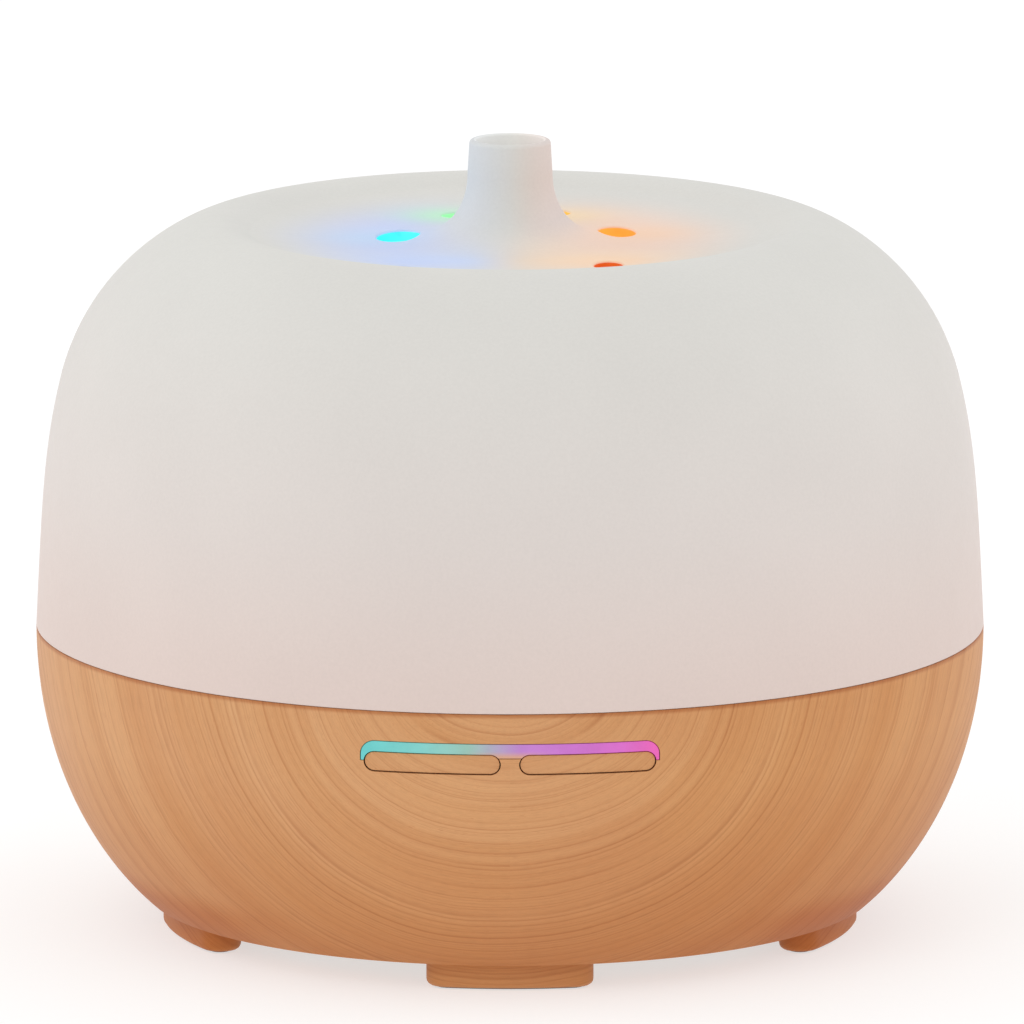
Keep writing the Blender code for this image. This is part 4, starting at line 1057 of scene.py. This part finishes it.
def moulded(name, colour, roughness, grain=0.5, depth=0.02, vary=0.04):
    """Moulded plastic or rubber: uneven tone, uneven gloss and a spark-eroded grain."""
    t = Tree(name)
    tone = t.uneven(9.0, 1 - vary, 1 + vary, 3.0)
    speck = t.uneven(grain, 1 - vary / 2, 1 + vary / 2)
    shade = t.times(tone, speck)
    t.set(Base_Color=t.shaded(colour, shade))
    t.set(Roughness=t.uneven(4.0, roughness - 0.05, roughness + 0.05))
    t.bump(t.noise(grain), depth, 0.4)
    return t.material


def tank_material():
    """Smooth white plastic with a faint scale mark where the water stands."""
    t = Tree("tank_plastic")
    cloud = t.uneven(12.0, 0.97, 1.02, 3.0)
    level = t.math("ADD", t.z, t.times(t.noise(14.0), 1.6))
    scale = t.ramp(t.fit(level, 44.0, 50.0), (0.0, 0.0), (0.45, 0.0), (0.55, 0.5), (0.6, 0.1), (1.0, 0.0))
    colour = t.shaded(srgb(236, 237, 237), cloud)
    colour = t.mix(t.times(scale, t.noise(1.2, 3.0)), colour, srgb(206, 203, 194))
    t.set(Base_Color=colour, Roughness=t.uneven(5.0, 0.3, 0.4))
    t.bump(t.noise(1.6), 0.015, 0.3)
    return t.material


def metal(name, colour, roughness, stretch=(1.0, 1.0, 1.0)):
    """Metal with fine drawn or stamped marks, a little tarnish and uneven gloss."""
    t = Tree(name)
    marks = t.noise(0.25, 2.0, stretch=stretch)
    tarnish = t.fit(t.noise(4.0, 3.0), 0.35, 0.7, 1.03, 0.86)
    t.set(Base_Color=t.shaded(colour, tarnish))
    t.set(Metallic=1.0, Roughness=t.fit(marks, 0.3, 0.7, roughness - 0.06, roughness + 0.08))
    t.bump(marks, 0.01, 0.5)
    return t.material


TRACK_PITCH = 2.54
WIRE_PITCH = 0.55


def laminate(name, mask, track):
    """A circuit board: solder mask over raised tracks, with tinned pads."""
    t = Tree(name)
    lane, rung = t.cycle(t.x, TRACK_PITCH), t.cycle(t.y, TRACK_PITCH)
    run = t.fit(t.noise(5.0, 0.0), 0.49, 0.51)
    stops = ((0.0, 0.0), (0.36, 0.0), (0.42, 1.0), (0.58, 1.0), (0.64, 0.0))
    tracks = t.mix(run, t.ramp(lane, *stops), t.ramp(rung, *stops))
    corner = t.vector("DISTANCE", t.combined(lane, rung, 0.0), (0.5, 0.5, 0.0))
    chosen = t.fit(t.noise(3.1, 0.0), 0.55, 0.56)
    pads = t.times(t.fit(corner, 0.2, 0.24, 1.0, 0.0), chosen)
    colour = t.mix(tracks, mask, track)
    t.set(Base_Color=t.mix(pads, colour, srgb(205, 205, 198)), Metallic=pads)
    t.set(Roughness=t.uneven(2.0, 0.28, 0.38))
    t.bump(tracks, 0.04, 0.6)
    return t.material


def coil_material():
    """Enamelled wire in close turns, with painted shade in the grooves between them."""
    t = Tree("copper_coil")
    turn = t.math("SINE", t.times(t.cycle(t.z, WIRE_PITCH), math.pi))
    # Painted shade: the colour darkens in the grooves between the turns.
    colour = t.mix(turn, srgb(92, 44, 20), srgb(196, 112, 60))
    t.set(Base_Color=colour, Metallic=0.7, Roughness=t.fit(turn, 0.0, 1.0, 0.5, 0.3))
    t.bump(turn, 0.25, 0.8)
    return t.material


def lens_material():
    """Clear resin over a yellow phosphor, faintly lit."""
    t = Tree("led_lens")
    glow = t.uneven(0.8, 0.9, 1.05)
    colour = t.shaded(srgb(250, 244, 214), glow)
    t.set(Base_Color=colour, Roughness=0.15, Emission_Color=colour, Emission_Strength=0.3)
    t.bump(t.noise(0.5, 1.0), 0.01, 0.3)
    return t.material


# Moulded parts: colour, roughness, then the size, depth and unevenness of their grain
MOULDED = {
    "guide_plastic": (srgb(233, 234, 236), 0.42),
    "silicone": (srgb(226, 226, 222), 0.6, 0.8, 0.01),
    "bottom_plastic": (srgb(150, 122, 98), 0.6, 0.7, 0.05, 0.06),
    "pad_rubber": (srgb(84, 74, 66), 0.85, 0.4, 0.05, 0.1),
    "fan_plastic": (srgb(56, 56, 60), 0.42, 0.35, 0.01, 0.1),
    "funnel_plastic": (srgb(160, 162, 166), 0.45),
    "black_plastic": (srgb(46, 46, 48), 0.42, 0.4, 0.015, 0.1),
    "capacitor_sleeve": (srgb(50, 58, 92), 0.3, 1.2, 0.01, 0.08),
    "red_vinyl": (srgb(202, 56, 48), 0.4, 0.8, 0.01, 0.06),
    "black_vinyl": (srgb(56, 56, 56), 0.4, 0.8, 0.01, 0.08),
    "white_vinyl": (srgb(224, 224, 220), 0.4, 0.8, 0.01, 0.04),
}

# Metal parts: colour, roughness, and how their marks are drawn out
METALS = {
    "disc_metal": (srgb(222, 219, 212), 0.24),
    "clamp_metal": (srgb(196, 198, 202), 0.32, (1.0, 0.1, 1.0)),
    "screw_steel": (srgb(205, 205, 205), 0.3, (1.0, 1.0, 0.1)),
    "bearing_bronze": (srgb(194, 160, 110), 0.4),
    "heat_sink_metal": (srgb(216, 217, 219), 0.35, (1.0, 1.0, 0.1)),
}

# The finish of each of the record's material slots
FINISHES = {
    "cover_plastic": cover_material(),
    "frosted_acrylic": light_ring_material(),
    "light_guide_acrylic": bar_material(),
    "wood_grain": wood_material(),
    "tank_plastic": tank_material(),
    "white_laminate": laminate("white_laminate", srgb(224, 226, 223), srgb(212, 215, 211)),
    "green_laminate": laminate("green_laminate", srgb(38, 128, 88), srgb(58, 152, 104)),
    "led_lens": lens_material(),
    "copper_coil": coil_material(),
}
FINISHES.update((name, moulded(name, *look)) for name, look in MOULDED.items())
FINISHES.update((name, metal(name, *look)) for name, look in METALS.items())


def dress_nodes():
    """Gives every CAD node its slot's finish."""
    for part in frame["record"]["subparts"]:
        for slot in frame["nodes"][part["node"]].material_slots:
            slot.material = FINISHES[part["material_slot"]]


# ---- inner pieces


def make_light_ring():
    """The frosted ring under the crater, turned up at its edge."""
    top = [(9.8, 119.6), (10.1, 119.9), (32.0, 119.9)]
    top += bezier((34, 119.9), (36, 119.9), (38, 120.4), (40.5, 120.5), 6)
    bottom = [(40.8, 120.2), (40.8, 119.2), (40.5, 118.9), (32.0, 118.3), (10.1, 118.3), (9.8, 118.6)]
    ring = smooth(make("light_ring_lens", turned(top + bottom)))
    placed(ring, "cover", "frosted_acrylic", "light_ring")


def make_mist_guide():
    """The inner chimney: a collar on the cover's spigot, a tube, and a funnel over the disc."""
    collar = NOZZLE_RADIUS + 1.6 + 0.3
    outside = [(9.4, 119.6), (9.4, 113.4)]
    outside += bezier((9.4, 113.0), (9.4, 111.4), (8.2, 111.0), (8.2, 109.0), 6)
    outside += bezier((8.0, 98.0), (8.0, 95.0), (9.6, 93.0), (13.0, 87.3), 8)
    inside = [(12.7, 87.0), (11.9, 87.0)]
    inside += bezier((11.6, 87.3), (8.4, 93.0), (6.6, 95.0), (6.6, 98.0), 8)
    inside += [(6.4, 114.6), (collar, 114.6), (collar, 119.7), (collar + 0.2, 119.9), (9.2, 119.9)]
    guide = smooth(make("mist_funnel", turned(outside + inside, SMALL_STEPS)))
    placed(guide, "cover", "guide_plastic", "mist_guide")


def tank_outline():
    """The basin's wall and floor, with a round lip and soft corners."""
    floor = TANK_FLOOR_Z + TANK_WALL
    top = TANK_FLANGE_Z + TANK_WALL
    rim = TANK_RIM_RADIUS
    outer = bezier((50.5, TANK_FLOOR_Z), (61.5, TANK_FLOOR_Z), (66.7, 37.0), (67.6, TANK_FLANGE_Z), 20)
    flange = [(rim - 0.4, TANK_FLANGE_Z), (rim, TANK_FLANGE_Z + 0.4)]
    lip = arc((rim - TANK_WALL / 2, TANK_RIM_Z - TANK_WALL / 2), TANK_WALL / 2, 0, 180, 8)
    corner = arc((rim - TANK_WALL - 1.0, top + 1.0), 1.0, 0, -90, 5)
    shoulder = [(66.8, top), (66.1, top - 0.15), (65.7, top - 0.6)]
    inner = bezier((65.5, top - 1.2), (64.5, 38.0), (60.0, floor), (50.0, floor), 20)
    well = [(WELL_RADIUS + 0.5, floor), (WELL_RADIUS, floor - 0.5), (WELL_RADIUS, TANK_FLOOR_Z)]
    return outer + flange + lip + corner + shoulder + inner + well


def post(spot, radius, bottom, top):
    """An upright rod between two heights, as a bmesh."""
    return rod(radius, spot + Vector((0, 0, bottom)), spot + Vector((0, 0, top)), 32)


def make_tank():
    """The white basin, with the disc's well, the air tower and the posts under its floor."""
    inside_floor = TANK_FLOOR_Z + 1.0
    floor = TANK_FLOOR_Z + TANK_WALL
    posts, holes = [], []
    for azimuth in CASE_SCREW_ANGLES:
        spot = polar(CASE_SCREW_RADIUS, azimuth)
        posts.append(post(spot, 3.8, 10.3, inside_floor))
        holes.append(post(spot, 1.75, 9.0, 20.5))
    for azimuth in around(3, -90.0):
        spot = polar(CLAMP_SCREW_RADIUS, azimuth)
        posts.append(post(spot, 2.0, 23.8, inside_floor))
        holes.append(post(spot, 1.1, 23.0, 25.6))
    for azimuth in LED_POST_ANGLES:
        posts.append(post(polar(LED_RING_RADIUS, azimuth), 2.0, LED_BOARD_TOP_Z + 0.3, inside_floor))
    radius, top = TOWER_RADIUS, TOWER_TOP_Z
    tower = [(0.0, inside_floor), (radius + 1.5, inside_floor)]
    foot, bend = (radius + 1.5, floor), (radius + 0.5, floor)
    tower += bezier(foot, bend, (radius, floor + 0.5), (radius, floor + 1.5), 5)
    tower += [(radius, top - 0.5), (radius - 0.5, top), (0.0, top)]
    posts.append(turned(tower, SMALL_STEPS, (0.0, FAN_Y, 0.0)))
    holes.append(rod(TOWER_BORE, (0, FAN_Y, 20.0), (0, FAN_Y, top + 5.0)))
    tank = make("water_basin", turned(tank_outline()))
    boolean(tank, "UNION", gathered(posts))
    boolean(tank, "DIFFERENCE", gathered(holes))
    placed(smooth(tank), "base", "tank_plastic", "water_tank")


def make_tower_cap():
    """The cap on the air tower, with a round-cornered window towards the middle."""
    outside = [(12.9, 64.0), (13.2, 64.3), (13.2, 77.5)]
    outside += bezier((13.2, 79.0), (13.2, 82.5), (9.0, 83.0), (0.0, 83.0), 12)
    inside = [(0.0, 81.2), (8.5, 80.9)]
    inside += bezier((9.5, 80.7), (11.2, 80.2), (11.9, 79.0), (11.9, 77.5), 5)
    inside += [(11.9, 64.3), (12.2, 64.0)]
    cap = make("tower_cap", turned(outside + inside, SMALL_STEPS, (0.0, FAN_Y, 0.0)))
    window = round_box(-8.0, 73.0, 8.0, 79.0, 1.2)
    boolean(cap, "DIFFERENCE", prism(window, 10.0, FAN_Y, "Y"))
    placed(smooth(cap), "base", "tank_plastic", "air_hood")


def make_disc():
    """The ultrasonic disc, with its electrode ring and shallow dish."""
    back = [(0.0, 23.2), (5.8, 23.2), (6.0, 23.4), (6.0, 23.7), (8.6, 23.7), (8.8, 23.9)]
    face = [(8.8, 24.4), (8.6, 24.6), (5.2, 24.6), (5.0, 24.45), (4.6, 24.45), (4.4, 24.6), (3.0, 24.6)]
    disc = smooth(make("mist_disc", turned(back + face + [(2.4, 24.5), (0.0, 24.45)], SMALL_STEPS)))
    placed(disc, "base", "disc_metal", "ultrasonic_disc")


def stepped_hole(x, y, radius, head_radius):
    """A countersunk screw's hole from below, as a bmesh."""
    mouth = head_radius + 0.3
    outline = [(0.0, 3.0), (mouth, 3.0), (mouth, BOTTOM_LOW_Z), (head_radius, BOTTOM_LOW_Z + 0.3)]
    outline += [(head_radius, 6.5), (radius, 6.5), (radius, 9.0), (0.0, 9.0)]
    return turned(outline, 40, (x, y, 0.0))


def make_bottom():
    """The plate under the bowl, with the air grille below the fan and the board's posts."""
    edge = [(0.0, BOTTOM_LOW_Z), (BOTTOM_RADIUS - 0.5, BOTTOM_LOW_Z), (BOTTOM_RADIUS, BOTTOM_LOW_Z + 0.5)]
    plate = make("under_plate", turned(edge + [(BOTTOM_RADIUS, BOTTOM_TOP_Z), (0.0, BOTTOM_TOP_Z)]))
    posts = [post(Vector((x, y, 0.0)), 2.5, BOTTOM_LOW_Z + 1.0, BOARD_Z - 0.3) for x, y in BOARD_POSTS]
    boolean(plate, "UNION", gathered(posts))
    cuts = [post(Vector((x, y, 0.0)), 1.15, BOTTOM_LOW_Z + 1.0, BOARD_Z + 1.0) for x, y in BOARD_POSTS]
    for azimuth in CASE_SCREW_ANGLES:
        spot = polar(CASE_SCREW_RADIUS, azimuth)
        cuts.append(stepped_hole(spot.x, spot.y, 1.8, 3.1))
    cuts += [stepped_hole(x, y, 1.6, 2.8) for x, y in FAN_SCREWS]
    for x in range(-10, 11, 5):
        half = math.sqrt(12.6**2 - x * x)
        far = arc((x, FAN_Y + half - 1.3), 1.3, 0, 180, 12)
        near = arc((x, FAN_Y - half + 1.3), 1.3, 180, 360, 12)
        cuts.append(prism(far + near, 4.0, 9.0))
    boolean(plate, "DIFFERENCE", gathered(cuts))
    placed(smooth(plate), "base", "bottom_plastic", "bottom_cover")


def make_pads():
    """The rubber pads, a little proud of their recesses in the feet."""
    edge = [(0.0, PAD_INSET + 0.4), (0.1, PAD_INSET + 0.12), (0.4, PAD_INSET)]
    levels = edge + [(PAD_THICKNESS, PAD_INSET)]
    for number, azimuth in enumerate(FOOT_AZIMUTHS, 1):
        pad = smooth(make(f"pad_{number}", foot_stack(azimuth, levels)))
        placed(pad, "base", "pad_rubber", f"foot_pad_{number}")


def make_inlet():
    """The power inlet: a socket with chamfered mouth, its contact block, and the centre pin."""
    back, front = INLET_FRONT_Y - INLET_DEPTH, INLET_FRONT_Y
    barrel = [(0.0, back), (INLET_RADIUS, back), (INLET_RADIUS, front - 0.4), (INLET_RADIUS - 0.4, front)]
    mouth = [(3.6, front), (3.1, front - 0.5), (3.1, back + 1.5), (0.0, back + 1.5)]
    inlet = make("power_inlet", turned(barrel + mouth, 64, (0.0, 0.0, INLET_Z), "Y"))
    block = round_box(-5.3, 14.0, 5.3, 23.0, 0.6)
    boolean(inlet, "UNION", prism(block, back - 9.5, back + 0.8, "Y"))
    placed(smooth(inlet), "base", "black_plastic", "dc_jack")
    tip = [(1.05, front - 1.9), (0.8, front - 1.4), (0.4, front - 1.2), (0.0, front - 1.2)]
    pin = turned([(0.0, back + 1.6), (1.05, back + 1.6)] + tip, 32, (0.0, 0.0, INLET_Z), "Y")
    placed(smooth(make("inlet_pin", pin)), "base", "clamp_metal")


# ---- stage


def make_floor():
    """A wide pale floor."""
    shape = bmesh.new()
    bmesh.ops.create_circle(shape, cap_ends=True, segments=96, radius=4000.0)
    floor = make("floor", shape)
    t = Tree("floor_paint")
    mottle = t.uneven(300.0, 0.44, 0.46, 3.0)
    t.set(Base_Color=t.combined(mottle, mottle, mottle), Roughness=0.9, Specular_IOR_Level=0.1)
    t.set(Emission_Color=(1.0, 1.0, 1.0), Emission_Strength=0.6)
    floor.data.materials.append(t.material)


def make_world(strength):
    world = bpy.data.worlds.new("studio")
    bpy.context.scene.world = world
    world.use_nodes = True
    background = world.node_tree.nodes["Background"]
    background.inputs["Color"].default_value = (1.0, 1.0, 1.0, 1.0)
    background.inputs["Strength"].default_value = strength


def make_lamp(name, spot, size, power):
    """A square soft box, turned to the object's middle."""
    data = bpy.data.lights.new(name, "AREA")
    data.size = size
    data.energy = power
    lamp = linked(name, data)
    lamp.location = spot
    lamp.rotation_euler = (Vector((0.0, 0.0, 0.07)) - Vector(spot)).to_track_quat("-Z", "Y").to_euler()


def make_camera():
    """A long lens, a little above the object and straight in front of it."""
    aim_z = 0.07333
    distance, rise = 2.9447, 0.5603
    aside = 0.00035
    data = bpy.data.cameras.new("camera")
    data.lens = 594.7
    data.sensor_width = 36.0
    data.clip_start = 0.1
    data.clip_end = 50.0
    camera = linked("camera", data)
    camera.location = (aside, -distance, aim_z + rise)
    back = Vector((0.0, -distance, rise))
    camera.rotation_euler = (-back).to_track_quat("-Z", "Y").to_euler()
    bpy.context.scene.camera = camera


# ---- assembly

make_camera()
make_floor()
make_world(0.86)
make_lamp("key", (-0.9, -1.6, 1.5), 1.2, 4.0)
make_lamp("left_rim", (-1.5, 0.5, 0.7), 1.0, 3.0)
make_lamp("right_rim", (1.5, 0.5, 0.7), 1.0, 3.0)
bpy.context.scene.view_settings.view_transform = "Standard"

dress_nodes()
make_cover()
make_bowl()
make_button("left_button", -1)
make_button("right_button", 1)
make_light_bar()
make_light_ring()
make_mist_guide()
make_tank()
make_tower_cap()
make_disc()
make_bottom()
make_pads()
make_inlet()
